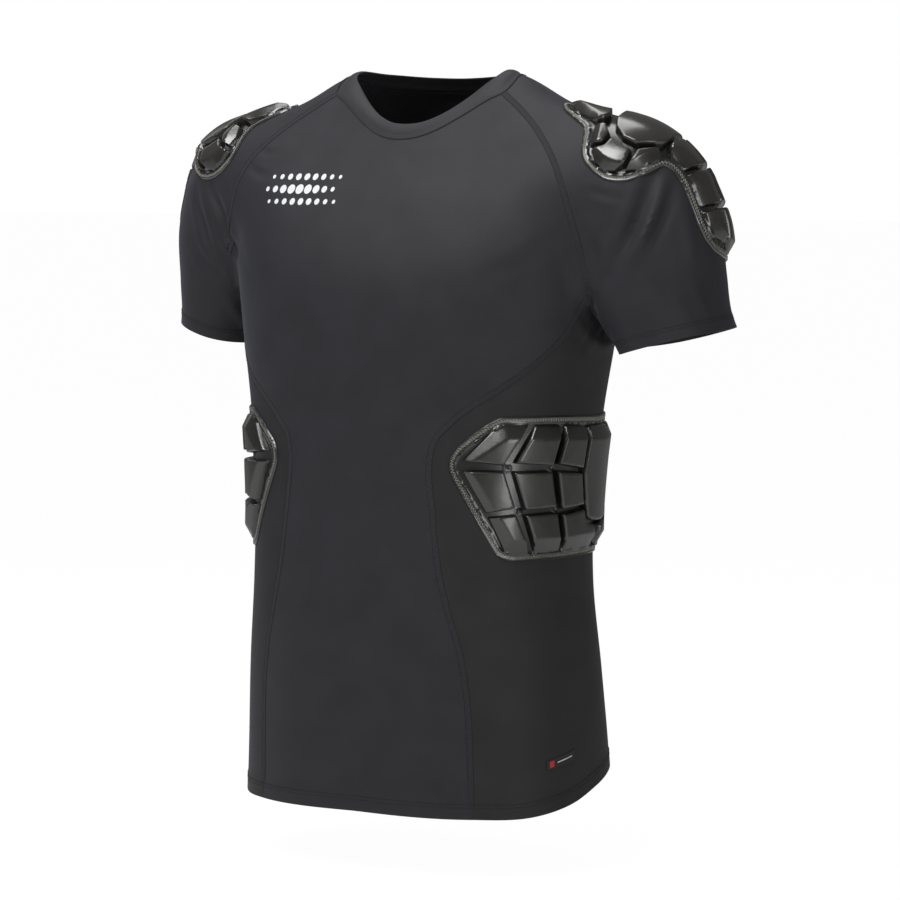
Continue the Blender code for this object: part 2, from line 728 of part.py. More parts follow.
# Collar: a doubled band from the neck seam up to its free edge
def collar_band(collection, name, material):
    seam = np.vstack([neck_front[:-1], neck_top[:-1], neck_back])
    free = seam_pieces(BAND_EDGE, (0, len(BAND_EDGE) - 1), 10, False)[0]
    share = np.linspace(0, 1, len(seam))
    free_share = np.linspace(0, 1, len(free))
    free = np.column_stack([np.interp(share, free_share, free[:, c]) for c in range(3)])
    flat_part = sideways(seam, 1.0)
    bow = outward_at(seam) * 1.0
    for move in (flat_part, bow):
        move[0, 0] = move[-1, 0] = 0
    seam[0, 0] = seam[-1, 0] = free[0, 0] = free[-1, 0] = 0
    turned = seam + flat_part * 4
    rows = [seam + flat_part * SEAM_GAP, turned]
    rows += [turned * (1 - part) + free * part + bow * math.sin(math.pi * part) for part in (0.35, 0.7, 1)]
    count = len(seam)
    faces = [[r * count + i, r * count + i + 1, (r + 1) * count + i + 1, (r + 1) * count + i]
             for r in range(len(rows) - 1) for i in range(count - 1)]
    item = mesh_object(collection, name, np.vstack(rows), faces, material)
    add_mirror(item)
    add_wall(item, BAND_WALL)
    return item


# Build the shirt
shirt = start_collection("padded_compression_shirt")
cloth = plain_material("charcoal_stretch_knit", (0.040, 0.041, 0.046), 0.62)
side_cloth = plain_material("charcoal_side_knit", (0.036, 0.037, 0.041), 0.62)
band_cloth = plain_material("charcoal_collar_knit", (0.045, 0.046, 0.051), 0.66)
rib_skin = plain_material("moulded_rib_pad_skin", (0.075, 0.074, 0.072), 0.32)
cap_skin = plain_material("moulded_shoulder_pad_skin", (0.070, 0.069, 0.067), 0.32)

half_gap = SEAM_GAP / 2
neck_front, neck_top, neck_back = seam_pieces(
    NECK_SEAM, (0, NECK_FRONT_CORNER, NECK_BACK_CORNER, len(NECK_SEAM) - 1), PANEL_STEP * 0.6)
raglan_front, under_front, under_back, raglan_back = seam_pieces(
    ARMHOLE_SEAM, (0, UNDERARM_FRONT, UNDERARM_MIDDLE, UNDERARM_BACK, len(ARMHOLE_SEAM) - 1),
    PANEL_STEP * 0.8)
front_guide = side_seam_guide(False)
back_guide = side_seam_guide(True)
front_side = seam_pieces(front_guide, (0, len(front_guide) - 1), PANEL_STEP)[0]
back_side = seam_pieces(back_guide, (0, len(back_guide) - 1), PANEL_STEP)[0]
front_turn, back_turn = (side_flat(side[-1:])[0, 0] / RIB_MM_PER_DEGREE + SIDE_MIDDLE
                         for side in (front_side, back_side))
for middle_point in (neck_front[0], neck_back[-1]):
    middle_point[0] = 0


def edge_border(points):
    return points, np.zeros_like(points)


def seam_border(points, amount, reverse=False):
    move = sideways(points, amount)
    if abs(points[0, 0]) < 0.5:
        move[0, 0] = 0
    if abs(points[-1, 0]) < 0.5:
        move[-1, 0] = 0
    return (points[::-1], move[::-1]) if reverse else (points, move)


def middle_line(top, bottom, facing):
    heights = face_flat(np.array([top, bottom]), facing)[:, 1]
    count = round(abs(heights[1] - heights[0]) / PANEL_STEP)
    heights = np.linspace(heights[0], heights[1], count + 1)
    line = face_place(np.column_stack([heights * 0, heights]), facing)
    line[0] = top
    line[-1] = bottom
    line[:, 0] = 0
    return line


def front_panel():
    hem = hem_piece(0, front_turn, PANEL_STEP)
    hem[0, 0] = 0
    hem[-1] = front_side[-1]
    borders = [
        edge_border(hem),
        seam_border(front_side, -half_gap, True),
        seam_border(raglan_front, -half_gap, True),
        seam_border(neck_front, -half_gap, True),
        edge_border(middle_line(neck_front[0], hem[0], -1)),
    ]
    return cloth_panel(shirt, "front_panel", borders, lambda p: face_flat(p, -1),
                       lambda f: face_place(f, -1), cloth, True)


def back_panel():
    hem = hem_piece(back_turn, 180, PANEL_STEP)
    hem[-1, 0] = 0
    hem[0] = back_side[-1]
    borders = [
        edge_border(hem),
        edge_border(middle_line(neck_back[-1], hem[-1], 1)[::-1]),
        seam_border(neck_back, -half_gap, True),
        seam_border(raglan_back, -half_gap, True),
        seam_border(back_side, half_gap),
    ]
    return cloth_panel(shirt, "back_panel", borders, lambda p: face_flat(p, 1),
                       lambda f: face_place(f, 1), cloth, True)


def side_panel():
    hem = hem_piece(front_turn, back_turn, PANEL_STEP)
    hem[0] = front_side[-1]
    hem[-1] = back_side[-1]
    borders = [
        edge_border(hem),
        seam_border(back_side, -half_gap, True),
        seam_border(under_back, -half_gap, True),
        seam_border(under_front, -half_gap, True),
        seam_border(front_side, half_gap),
    ]
    return cloth_panel(shirt, "side_panel_left", borders, side_flat, side_place, side_cloth, False)


def sleeve():
    under_top = under_front[-1:]
    top_along, top_turn = sleeve_flat(under_top)[0]
    full = 180 * CAP_MM_PER_DEGREE
    if top_turn < 0:
        top_turn += 2 * full
    seam_length = cuff_along(full) - top_along
    share = np.linspace(0, 1, round(seam_length / PANEL_STEP) + 1)
    front_line = np.column_stack([top_along + seam_length * share, top_turn + (full - top_turn) * share])
    seam = sleeve_place(front_line)
    seam[0] = under_top[0]
    cuff_turns = np.linspace(full, -full, 25)
    cuff = sleeve_place(np.column_stack([cuff_along(cuff_turns), cuff_turns]))
    cuff[0] = seam[-1]
    cuff[-1] = seam[-1]
    borders = [
        seam_border(raglan_front, half_gap),
        seam_border(under_front, half_gap),
        seam_border(seam, half_gap),
        edge_border(cuff),
        seam_border(seam, -half_gap, True),
        seam_border(under_back, half_gap),
        seam_border(raglan_back, half_gap),
        seam_border(neck_top, -half_gap, True),
    ]
    lengths = [len(points) - 1 for points, move in borders]
    last_front = sum(lengths[:3])

    def flat_ring(ring):
        flat = sleeve_flat(ring)
        order = np.arange(len(ring))
        near_under = np.abs(flat[:, 1]) > 0.5 * full
        in_front = order <= last_front
        flat[near_under & in_front & (flat[:, 1] < 0), 1] += 2 * full
        flat[near_under & ~in_front & (flat[:, 1] > 0) & (order >= sum(lengths[:4])), 1] -= 2 * full
        cuff_rows = (order >= last_front) & (order <= sum(lengths[:4]))
        flat[cuff_rows, 1] = cuff_turns[:cuff_rows.sum()]
        return flat

    return cloth_panel(shirt, "sleeve_left", borders, sleeve_flat, sleeve_place, cloth, False,
                       flat_ring, SLEEVE_STEP)


front_panel()
back_panel()
mirrored_copy(shirt, side_panel(), "side_panel_right")
mirrored_copy(shirt, sleeve(), "sleeve_right")
collar_band(shirt, "collar_band", band_cloth)
mirrored_copy(shirt, rib_pad(shirt, "rib_pad_left", rib_skin), "rib_pad_right")
mirrored_copy(shirt, shoulder_pad(shirt, "shoulder_pad_left", cap_skin), "shoulder_pad_right")
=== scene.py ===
import math

import bpy
import numpy as np
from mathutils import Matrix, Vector
from mathutils.geometry import delaunay_2d_cdt


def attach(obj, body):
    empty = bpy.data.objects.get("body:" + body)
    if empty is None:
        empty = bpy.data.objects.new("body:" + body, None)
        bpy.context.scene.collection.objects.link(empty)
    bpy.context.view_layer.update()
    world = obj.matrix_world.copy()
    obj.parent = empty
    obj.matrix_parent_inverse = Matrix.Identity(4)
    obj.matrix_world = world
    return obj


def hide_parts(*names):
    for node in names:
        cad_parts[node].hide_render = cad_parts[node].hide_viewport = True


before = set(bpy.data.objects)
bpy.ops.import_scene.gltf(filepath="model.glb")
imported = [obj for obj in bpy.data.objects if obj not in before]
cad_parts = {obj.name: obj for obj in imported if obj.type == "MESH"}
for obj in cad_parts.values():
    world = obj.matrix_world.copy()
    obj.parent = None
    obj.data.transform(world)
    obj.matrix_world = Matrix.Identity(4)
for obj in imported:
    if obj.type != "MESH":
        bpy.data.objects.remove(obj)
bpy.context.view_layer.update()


# Front panel
# One piece of smooth charcoal interlock knit, cut to the chest and belly, with curved sides
# that run into the side panels. It is stretched over the wearer, so the tables give the
# figure that fills it, in millimetres, and the few creases that the stretch leaves.
MM = 0.001
BODY_LENGTH = 666
HALF_CHEST = 188
HALF_DEPTH = 124
SHOULDER_SLOPE = 17.2
SHOULDER_DROP = 15.3
CLOTH_WALL = 1.5
SEAM_GAP = 0.3
CLOTH_STEP = 4.0
SEAM_STEP = 4.5
RIB_MM_PER_DEGREE = 2.88
HEM_DEPTH = 15
HEM_ONLY_BELOW = -560
FOLD_STEP = 1.5
FOLD_OUT = 0.35
FOLD_IN = 0.55

FIGURE_RINGS = np.array([
    # height, half_width, front, back, middle, squareness
    (-1.17 * BODY_LENGTH, 0.947 * HALF_CHEST, 1.000 * HALF_DEPTH, 0.935 * HALF_DEPTH, 4, 2.4),
    (-1.05 * BODY_LENGTH, 0.947 * HALF_CHEST, 1.000 * HALF_DEPTH, 0.935 * HALF_DEPTH, 4, 2.4),
    (-0.93 * BODY_LENGTH, 0.926 * HALF_CHEST, 1.015 * HALF_DEPTH, 0.895 * HALF_DEPTH, 4, 2.4),
    (-0.81 * BODY_LENGTH, 0.904 * HALF_CHEST, 1.015 * HALF_DEPTH, 0.806 * HALF_DEPTH, 2, 2.4),
    (-0.69 * BODY_LENGTH, 0.872 * HALF_CHEST, 1.000 * HALF_DEPTH, 0.742 * HALF_DEPTH, 0, 2.4),
    (-0.57 * BODY_LENGTH, 0.872 * HALF_CHEST, 0.968 * HALF_DEPTH, 0.782 * HALF_DEPTH, 0, 2.4),
    (-0.45 * BODY_LENGTH, 0.910 * HALF_CHEST, 0.944 * HALF_DEPTH, 0.887 * HALF_DEPTH, 0, 2.4),
    (-0.36 * BODY_LENGTH, 0.957 * HALF_CHEST, 0.935 * HALF_DEPTH, 0.984 * HALF_DEPTH, 0, 2.4),
    (-0.27 * BODY_LENGTH, 0.989 * HALF_CHEST, 0.871 * HALF_DEPTH, 1.000 * HALF_DEPTH, 0, 2.6),
    (-0.18 * BODY_LENGTH, 1.000 * HALF_CHEST, 0.677 * HALF_DEPTH, 1.000 * HALF_DEPTH, 2, 3.2),
    (-0.105 * BODY_LENGTH, 1.000 * HALF_CHEST, 0.452 * HALF_DEPTH, 0.903 * HALF_DEPTH, 4, 3.8),
    (-0.045 * BODY_LENGTH, 0.957 * HALF_CHEST, 0.290 * HALF_DEPTH, 0.758 * HALF_DEPTH, 6, 3.8),
    (0.015 * BODY_LENGTH, 0.904 * HALF_CHEST, 0.210 * HALF_DEPTH, 0.597 * HALF_DEPTH, 8, 3.4),
    (0.075 * BODY_LENGTH, 0.851 * HALF_CHEST, 0.161 * HALF_DEPTH, 0.468 * HALF_DEPTH, 10, 3.0),
])

# The upper arm, from inside the shoulder to just past the cuff
ARM_TOP = np.array((188.0, 20.0, -140.0))
ARM_CUFF = np.array((238.0, 40.0, -242.0))
ARM_RINGS = np.array([
    # share_of_length, outer, inner, half_depth
    (0.00, 97, 68, 64),
    (0.35, 91, 54, 66),
    (0.70, 72.5, 40, 65),
    (1.00, 57.5, 41, 62),
    (1.30, 52.5, 40, 62),
])

# Seam round the neck, from the middle of the front to the middle of the back
NECK_SEAM = [
    # out, back, up
    (0, -44.5, -59),
    (17, -43, -57.5),
    (33, -39, -52),
    (50, -32, -43),
    (64, -26, -34),
    (80, -18, -23.5),
    (91, -12.5, -18),
    (95, -2, -7),
    (94, 10, -1),
    (91, 23, -4),
    (85, 38, -8),
    (66, 55, -13),
    (45, 64, -17),
    (22, 68, -19),
    (0, 69, -20),
]
NECK_FRONT_CORNER = 6
NECK_BACK_CORNER = 10

# Seam between sleeve and body, from the neck down the front, under the arm, up the back
ARMHOLE_SEAM = [
    # out, back, up
    (91, -12.5, -18),
    (111, -22, -29),
    (131, -32, -42),
    (152, -44, -60),
    (168, -52, -80),
    (178, -53, -103),
    (184, -50, -126),
    (189, -44, -150),
    (193, -36, -176),
    (196, -28, -196),
    (189, -14, -208.5),
    (187, 4, -221.5),
    (185, 20, -226),
    (183, 33, -224),
    (180, 46, -216),
    (175, 61, -201),
    (171, 77, -174),
    (166, 90, -138),
    (159, 97, -106),
    (147, 93, -76),
    (129, 78, -46),
    (107, 58, -22),
    (85, 38, -8),
]
UNDERARM_FRONT = 9
UNDERARM_MIDDLE = 13
UNDERARM_BACK = 15

# Curved seam between front and side, below the underarm; the back seam mirrors it
SIDE_SEAM = [
    # angle, height
    (78, -226),
    (68, -257),
    (57, -281),
    (48, -297),
    (40.5, -314),
    (36.5, -325),
    (34.5, -340),
    (34, -358),
    (35, -382),
    (36, -412),
    (38, -450),
    (41, -482),
    (44.5, -515),
    (47, -560),
    (48, -610),
    (48.5, -665),
]
SIDE_MIDDLE = 97

# Lower edge of the shirt
HEM_LINE = np.array([
    # angle, height
    (0, -664),
    (48.5, -665),
    (66, -664),
    (80, -656),
    (94, -643),
    (106, -633),
    (120, -628),
    (145.5, -630),
    (180, -638),
])

# Creases, which are troughs where the depth is negative and ridges where it is positive
CREASE_SWELL = 0.7
CREASE_SHOULDER = 0.32
CREASES = [
    # half_width, depth, points
    (6.0, -4.0, [(245, -10, -91), (244, -21, -113), (238, -30, -137), (228, -34, -159), (217, -35, -177),
                 (206, -31, -193)]),
    (6.4, 2.9, [(252, -6, -100), (250, -17, -124), (243, -27, -150), (230, -33, -172)]),
    (5.0, -2.6, [(255, -1, -100), (257, -14, -126), (249, -25, -157)]),
    (5.5, 1.3, [(264, -1, -117), (271, 0, -144), (276, 2, -170)]),
    (3.6, -1.0, [(200, -45, -104), (213, -39, -109), (227, -32, -113)]),
    (4.6, -1.5, [(190, -49, -126), (199, -41, -148), (207, -37, -168)]),
    (5.0, -1.2, [(243, -28, -167), (255, -22, -192), (267, -12, -214)]),
    (6.0, 0.9, [(277, 1, -183), (283, 12, -206), (288, 22, -224)]),
    (5.4, -4.2, [(-217, -36, -103), (-201, -44, -125), (-189, -44, -153), (-171, -58, -169)]),
    (5.0, -2.8, [(-237, -24, -107), (-227, -34, -135), (-216, -36, -163)]),
    (3.4, -1.0, [(-158, -46, -65), (-146, -49, -71), (-135, -48, -69)]),
    (3.6, -1.1, [(-165, -53, -83), (-152, -57, -89), (-136, -61, -93)]),
    (5.0, -1.5, [(-243, -28, -154), (-220, -35, -177), (-200, -30, -191)]),
    (4.2, -1.6, [(191, -16, -207), (181, -10, -229), (178, -22, -247)]),
    (4.4, -1.5, [(-191, -16, -207), (-182, -6, -231), (-179, -16, -250)]),
    (8.0, -0.8, [(87, -111, -433), (50, -120, -447), (-2, -124, -455)]),
    (7.0, -0.9, [(177, -55, -144), (149, -77, -168), (118, -94, -184)]),
    (7.5, -0.7, [(-172, -58, -150), (-147, -78, -172), (-120, -93, -186)]),
    (7.0, -6.0, [(196, -28, -196), (189, -14, -208), (187, 4, -221), (183, 33, -224), (175, 61, -201)]),
    (7.0, -6.0, [(-196, -28, -196), (-189, -14, -208), (-187, 4, -221), (-183, 33, -224), (-175, 61, -201)]),
    (5.0, -2.6, [(232, 62, -100), (222, 70, -128), (208, 73, -152), (190, 70, -176)]),
    (5.2, -2.3, [(-238, 60, -104), (-226, 70, -131), (-209, 73, -158), (-192, 70, -178)]),
    (5.6, -1.5, [(258, 66, -150), (242, 78, -178), (222, 80, -198)]),
    (5.2, -1.4, [(-254, 66, -146), (-238, 78, -172), (-220, 80, -194)]),
    (8.0, -1.5, [(70, 98, -424), (28, 104, -438), (-24, 104, -444)]),
    (9.0, -1.1, [(-96, 88, -470), (-48, 98, -480), (8, 100, -490)]),
    (8.0, -1.0, [(120, 84, -232), (92, 98, -262), (60, 106, -284)]),
    (8.0, -1.0, [(-124, 82, -238), (-94, 98, -266), (-64, 106, -292)]),
]


def run_along(points):
    """Distance from the first point to each of the points, along the line through them."""
    return np.concatenate([[0], np.cumsum(np.linalg.norm(np.diff(points, axis=0), axis=1))])


def read(table, column, at):
    """A column of a table at places in its first column, on a smooth curve through the rows."""
    keys = table[:, 0]
    values = table[:, column]
    slopes = np.gradient(values, keys)
    at = np.clip(at, keys[0], keys[-1])
    row = np.clip(np.searchsorted(keys, at, side="right") - 1, 0, len(keys) - 2)
    gap = keys[row + 1] - keys[row]
    t = (at - keys[row]) / gap
    rise = (2 * t ** 3 - 3 * t ** 2 + 1) * values[row] + (3 * t ** 2 - 2 * t ** 3) * values[row + 1]
    bend = (t ** 3 - 2 * t ** 2 + t) * slopes[row] + (t ** 3 - t ** 2) * slopes[row + 1]
    return rise + gap * bend


def smooth_max(a, b, width):
    share = np.clip(0.5 + 0.5 * (a - b) / width, 0, 1)
    return b * (1 - share) + a * share + width * share * (1 - share)


def ease(value):
    value = np.clip(value, 0, 1)
    return value * value * (3 - 2 * value)


# The figure: how far a point in millimetres is outside it, roughly
def body_distance(points):
    height = points[:, 2]
    half_width, front, back, middle, squareness = (read(FIGURE_RINGS, c, height) for c in range(1, 6))
    x = np.abs(points[:, 0]) + 1e-6
    y = points[:, 1] - middle
    depth = np.where(y < 0, front, back)
    reach = np.hypot(x, y)
    edge = ((x / reach / half_width) ** squareness
            + (np.abs(y) / reach / depth + 1e-9) ** squareness) ** (-1 / squareness)
    return reach - edge


def shoulder_distance(points):
    out = np.hypot(points[:, 0], 30)
    far = ease((out - 85) / 85)
    past_neck = ease((out - 95) / 70)
    ridge = 4 - (out - 80) * math.tan(math.radians(SHOULDER_SLOPE)) - SHOULDER_DROP * past_neck
    from_ridge = points[:, 1] - 14
    steepness = np.where(from_ridge < 0, 1.10 - 0.55 * far, 0.62 - 0.10 * far)
    softness = 14 + 22 * far
    return points[:, 2] - ridge + steepness * (np.hypot(from_ridge, softness) - softness)


def arm_distance(points):
    line = ARM_CUFF - ARM_TOP
    length = np.linalg.norm(line)
    down = line / length
    outward = np.cross(down, (0.0, 1.0, 0.0))
    outward = -outward / np.linalg.norm(outward)
    outward = outward * np.sign(outward[0])
    forward = np.cross(down, outward)
    from_top = np.abs(points * (1, 0, 0)) + points * (0, 1, 1) - ARM_TOP
    along = from_top @ down
    share = along / length
    u = from_top @ outward
    v = from_top @ forward
    half_width = np.where(u > 0, read(ARM_RINGS, 1, share), read(ARM_RINGS, 2, share))
    half_depth = read(ARM_RINGS, 3, share)
    past_top = np.minimum(along, 0) / read(ARM_RINGS, 1, share)
    scaled = np.sqrt((u / half_width) ** 2 + (v / half_depth) ** 2 + past_top ** 2 + 1e-12)
    return (scaled - 1) * np.minimum(half_width, half_depth)


def figure_distance(points):
    body = smooth_max(body_distance(points), shoulder_distance(points), 45)
    blend = 18 + 15 * ease((points[:, 2] + 190) / 90)
    return -smooth_max(-body, -arm_distance(points), blend)


def cast(starts, directions, reach=300, steps=75, distance=figure_distance):
    """Where straight lines from inside the figure, or one part of it, first leave it."""
    directions = directions / np.linalg.norm(directions, axis=1, keepdims=True)
    inner = np.zeros(len(starts))
    outer = np.full(len(starts), float(reach))
    crossed = np.zeros(len(starts), bool)
    for step in np.linspace(0, reach, steps + 1)[1:]:
        outside = distance(starts + directions * step) > 0
        fresh = outside & ~crossed
        outer[fresh] = step
        inner[fresh] = step - reach / steps
        crossed |= outside
    for _ in range(22):
        middle = (inner + outer) / 2
        outside = distance(starts + directions * middle[:, None]) > 0
        outer = np.where(outside, middle, outer)
        inner = np.where(outside, inner, middle)
    return starts + directions * outer[:, None]


def outward_at(points):
    small = 0.8
    slope = np.stack([figure_distance(points + small * axis) - figure_distance(points - small * axis)
                      for axis in np.eye(3)], axis=1)
    return slope / np.linalg.norm(slope, axis=1, keepdims=True)


def snap(points):
    """Draw points near the figure onto its surface."""
    for _ in range(12):
        points = points - outward_at(points) * figure_distance(points)[:, None] * 0.8
    return points


# Ways of laying flat places on the figure
def around_body(flat):
    """Flat places as degrees round the body and height."""
    turn = np.radians(flat[:, 0])
    starts = np.column_stack([turn * 0, turn * 0, flat[:, 1]])
    return snap(cast(starts, np.column_stack([np.sin(turn), -np.cos(turn), turn * 0]),
                     distance=body_distance))


def side_place(flat):
    return around_body(np.column_stack([flat[:, 0] / RIB_MM_PER_DEGREE + SIDE_MIDDLE, flat[:, 1]]))


def side_flat(points):
    turn = np.degrees(np.arctan2(points[:, 0], -points[:, 1]))
    return np.column_stack([(turn - SIDE_MIDDLE) * RIB_MM_PER_DEGREE, points[:, 2]])


BEND_HEIGHT = -100
BEND_REACH = 90
INNER_Y = 10


def face_place(flat, facing):
    """Straight forward or back from inside, tilting upward above the bend height."""
    tilt = np.maximum(flat[:, 1] - BEND_HEIGHT, 0) / BEND_REACH
    starts = np.column_stack([flat[:, 0], tilt * 0 + INNER_Y, np.minimum(flat[:, 1], BEND_HEIGHT)])
    return cast(starts, np.column_stack([tilt * 0, facing * np.cos(tilt), np.sin(tilt)]))


def face_flat(points, facing):
    tilt = np.arctan2(points[:, 2] - BEND_HEIGHT, facing * (points[:, 1] - INNER_Y))
    height = np.where(points[:, 2] > BEND_HEIGHT, BEND_HEIGHT + BEND_REACH * tilt, points[:, 2])
    return np.column_stack([points[:, 0], height])


def seam_pieces(guide, stops, step, on_figure=True):
    """Even points between the named rows; a row on the middle line is crossed squarely."""
    guide = np.array(guide, float)
    if guide[0, 0] == 0:
        guide = np.vstack([guide[1] * (-1, 1, 1), guide])
        stops = [stop + 1 for stop in stops]
    if guide[-1, 0] == 0:
        guide = np.vstack([guide, guide[-2] * (-1, 1, 1)])
    run = run_along(guide)
    table = np.column_stack([run, guide])
    pieces = []
    for first, last in zip(stops[:-1], stops[1:]):
        count = max(2, round((run[last] - run[first]) / step))
        at = np.linspace(run[first], run[last], count + 1)
        points = np.column_stack([read(table, c, at) for c in (1, 2, 3)])
        pieces.append(snap(points) if on_figure else points)
    return pieces


def side_seam_guide(behind):
    turns = np.array([row[0] for row in SIDE_SEAM], float)
    heights = np.array([row[1] for row in SIDE_SEAM], float)
    if behind:
        turns = 2 * SIDE_MIDDLE - turns
    heights[-1] = read(HEM_LINE, 1, turns[-1:])[0]
    below = around_body(np.column_stack([turns, heights]))
    corner = UNDERARM_BACK if behind else UNDERARM_FRONT
    return np.vstack([snap(np.array([ARMHOLE_SEAM[corner]], float)), below])


def hem_piece(first_turn, last_turn, step):
    count = max(2, round(abs(last_turn - first_turn) * RIB_MM_PER_DEGREE / step))
    turns = np.linspace(first_turn, last_turn, count + 1)
    return around_body(np.column_stack([turns, read(HEM_LINE, 1, turns)]))


def sideways(points, amount):
    """Move a seam's points along the cloth, to the seam's left for a positive amount."""
    along = np.gradient(points, axis=0)
    across = np.cross(outward_at(points), along)
    return across / np.linalg.norm(across, axis=1, keepdims=True) * amount


def outline_of(borders):
    """Join borders given as (points, move) end to end, adding both moves at a corner."""
    ring = []
    for number, (points, move) in enumerate(borders):
        before_move = borders[number - 1][1][-1]
        moved = points + move
        moved[0] = points[0] + move[0] + before_move
        ring.append(moved[:-1])
    return np.vstack(ring)


def inside_outline(flat, ring):
    ends = np.roll(ring, -1, axis=0)
    within = np.zeros(len(flat), bool)
    for a, b in zip(ring, ends):
        spans = (a[1] > flat[:, 1]) != (b[1] > flat[:, 1])
        crossing = a[0] + (flat[:, 1] - a[1]) * (b[0] - a[0]) / (b[1] - a[1] + 1e-12)
        within ^= spans & (flat[:, 0] < crossing)
    return within


def clearance(flat, ring):
    ends = np.roll(ring, -1, axis=0)
    nearest = np.full(len(flat), 1e9)
    for a, b in zip(ring, ends):
        span = b - a
        share = np.clip((flat - a) @ span / (span @ span + 1e-12), 0, 1)
        nearest = np.minimum(nearest, np.linalg.norm(flat - a - share[:, None] * span, axis=1))
    return nearest


def even_places(ring, step):
    low = ring.min(axis=0)
    high = ring.max(axis=0)
    columns = np.arange(low[0], high[0] + step, step)
    rows = np.arange(low[1], high[1] + step * 0.87, step * 0.87)
    places = [(x + (number % 2) * step / 2, y) for number, y in enumerate(rows) for x in columns]
    places = np.array(places)
    return places[inside_outline(places, ring)]


def triangles_of(flat, loops):
    edges = []
    for loop in loops:
        edges += [(loop[i], loop[(i + 1) % len(loop)]) for i in range(len(loop))]
    result = delaunay_2d_cdt([Vector(p) for p in flat], edges, [], 0, 1e-5, True)
    faces = np.array([[result[3][i][0] for i in face] for face in result[2]])
    flat = np.array(flat)
    corners = flat[faces]
    first = corners[:, 1] - corners[:, 0]
    second = corners[:, 2] - corners[:, 0]
    area = np.abs(first[:, 0] * second[:, 1] - first[:, 1] * second[:, 0])
    wanted = inside_outline(corners.mean(axis=1), flat[loops[0]]) & (area > 0.01)
    return faces[wanted].tolist()


def faced_outward(points, faces):
    corners = points[np.array(faces)]
    facing = np.cross(corners[:, 1] - corners[:, 0], corners[:, 2] - corners[:, 0])
    if np.sum(facing * outward_at(corners.mean(axis=1))) < 0:
        return [face[::-1] for face in faces]
    return faces


half_gap = SEAM_GAP / 2
neck_front, neck_top, neck_back = seam_pieces(
    NECK_SEAM, (0, NECK_FRONT_CORNER, NECK_BACK_CORNER, len(NECK_SEAM) - 1), SEAM_STEP)
raglan_front, under_front, under_back, raglan_back = seam_pieces(
    ARMHOLE_SEAM, (0, UNDERARM_FRONT, UNDERARM_MIDDLE, UNDERARM_BACK, len(ARMHOLE_SEAM) - 1), SEAM_STEP)
front_guide = side_seam_guide(False)
back_guide = side_seam_guide(True)
front_side = seam_pieces(front_guide, (0, len(front_guide) - 1), SEAM_STEP)[0]
back_side = seam_pieces(back_guide, (0, len(back_guide) - 1), SEAM_STEP)[0]
front_turn, back_turn = (side_flat(side[-1:])[0, 0] / RIB_MM_PER_DEGREE + SIDE_MIDDLE
                         for side in (front_side, back_side))
for middle_point in (neck_front[0], neck_back[-1]):
    middle_point[0] = 0


def edge_border(points):
    return points, np.zeros_like(points)


def seam_border(points, amount, reverse=False):
    move = sideways(points, amount)
    if abs(points[0, 0]) < 0.5:
        move[0, 0] = 0
    if abs(points[-1, 0]) < 0.5:
        move[-1, 0] = 0
    return (points[::-1], move[::-1]) if reverse else (points, move)


def middle_line(top, bottom, facing):
    heights = face_flat(np.array([top, bottom]), facing)[:, 1]
    count = round(abs(heights[1] - heights[0]) / SEAM_STEP)
    heights = np.linspace(heights[0], heights[1], count + 1)
    line = face_place(np.column_stack([heights * 0, heights]), facing)
    line[0] = top
    line[-1] = bottom
    line[:, 0] = 0
    return line


def crease_lines():
    lines = []
    for half_width, depth, points in CREASES:
        guide = np.array(points, float)
        run = run_along(guide)
        table = np.column_stack([run, guide])
        at = np.linspace(0, run[-1], max(8, round(run[-1] / 2)))
        line = snap(np.column_stack([read(table, c, at) for c in (1, 2, 3)]))
        swell = np.sin(np.pi * (0.04 + 0.92 * at / run[-1])) ** CREASE_SWELL
        uneven = 1 + 0.16 * np.sin(at / 21 + half_width) + 0.07 * np.sin(at / 9.3 + depth)
        lines.append((half_width, depth, line, swell * uneven))
    return lines


crease_table = crease_lines()


def crease_rise(points):
    """How far the creases lift the cloth, each a soft trough or ridge with low shoulders."""
    rise = np.zeros(len(points))
    for half_width, depth, line, strength in crease_table:
        low = line.min(axis=0) - 4 * half_width
        high = line.max(axis=0) + 4 * half_width
        near = np.all((points > low) & (points < high), axis=1)
        if not near.any():
            continue
        away = np.linalg.norm(points[near][:, None, :] - line[None, :, :], axis=2)
        closest = away.argmin(axis=1)
        share = away.min(axis=1) / half_width
        shape = np.exp(-share ** 2) - CREASE_SHOULDER * np.exp(-((share - 1.9) / 0.8) ** 2)
        rise[near] += depth * shape * strength[closest]
    return rise


def hem_fold(points):
    """One where the hem is folded double, none above its stitching."""
    turn = np.degrees(np.arctan2(np.abs(points[:, 0]), -points[:, 1]))
    above = points[:, 2] - read(HEM_LINE, 1, turn)
    return np.clip((HEM_DEPTH - above) / FOLD_STEP, 0, 1) * (points[:, 2] < HEM_ONLY_BELOW)


def mirrored_whole(points, faces, flat):
    """Add the other half of a panel that is cut on the fold at its middle."""
    on_fold = np.abs(points[:, 0]) < 0.001
    twin = np.where(on_fold, np.arange(len(points)), len(points) + np.cumsum(~on_fold) - 1)
    faces = list(faces) + [[twin[i] for i in reversed(face)] for face in faces]
    points = np.vstack([points, points[~on_fold] * (-1, 1, 1)])
    flat = np.vstack([flat, flat[~on_fold] * (-1, 1)])
    return points, faces, flat


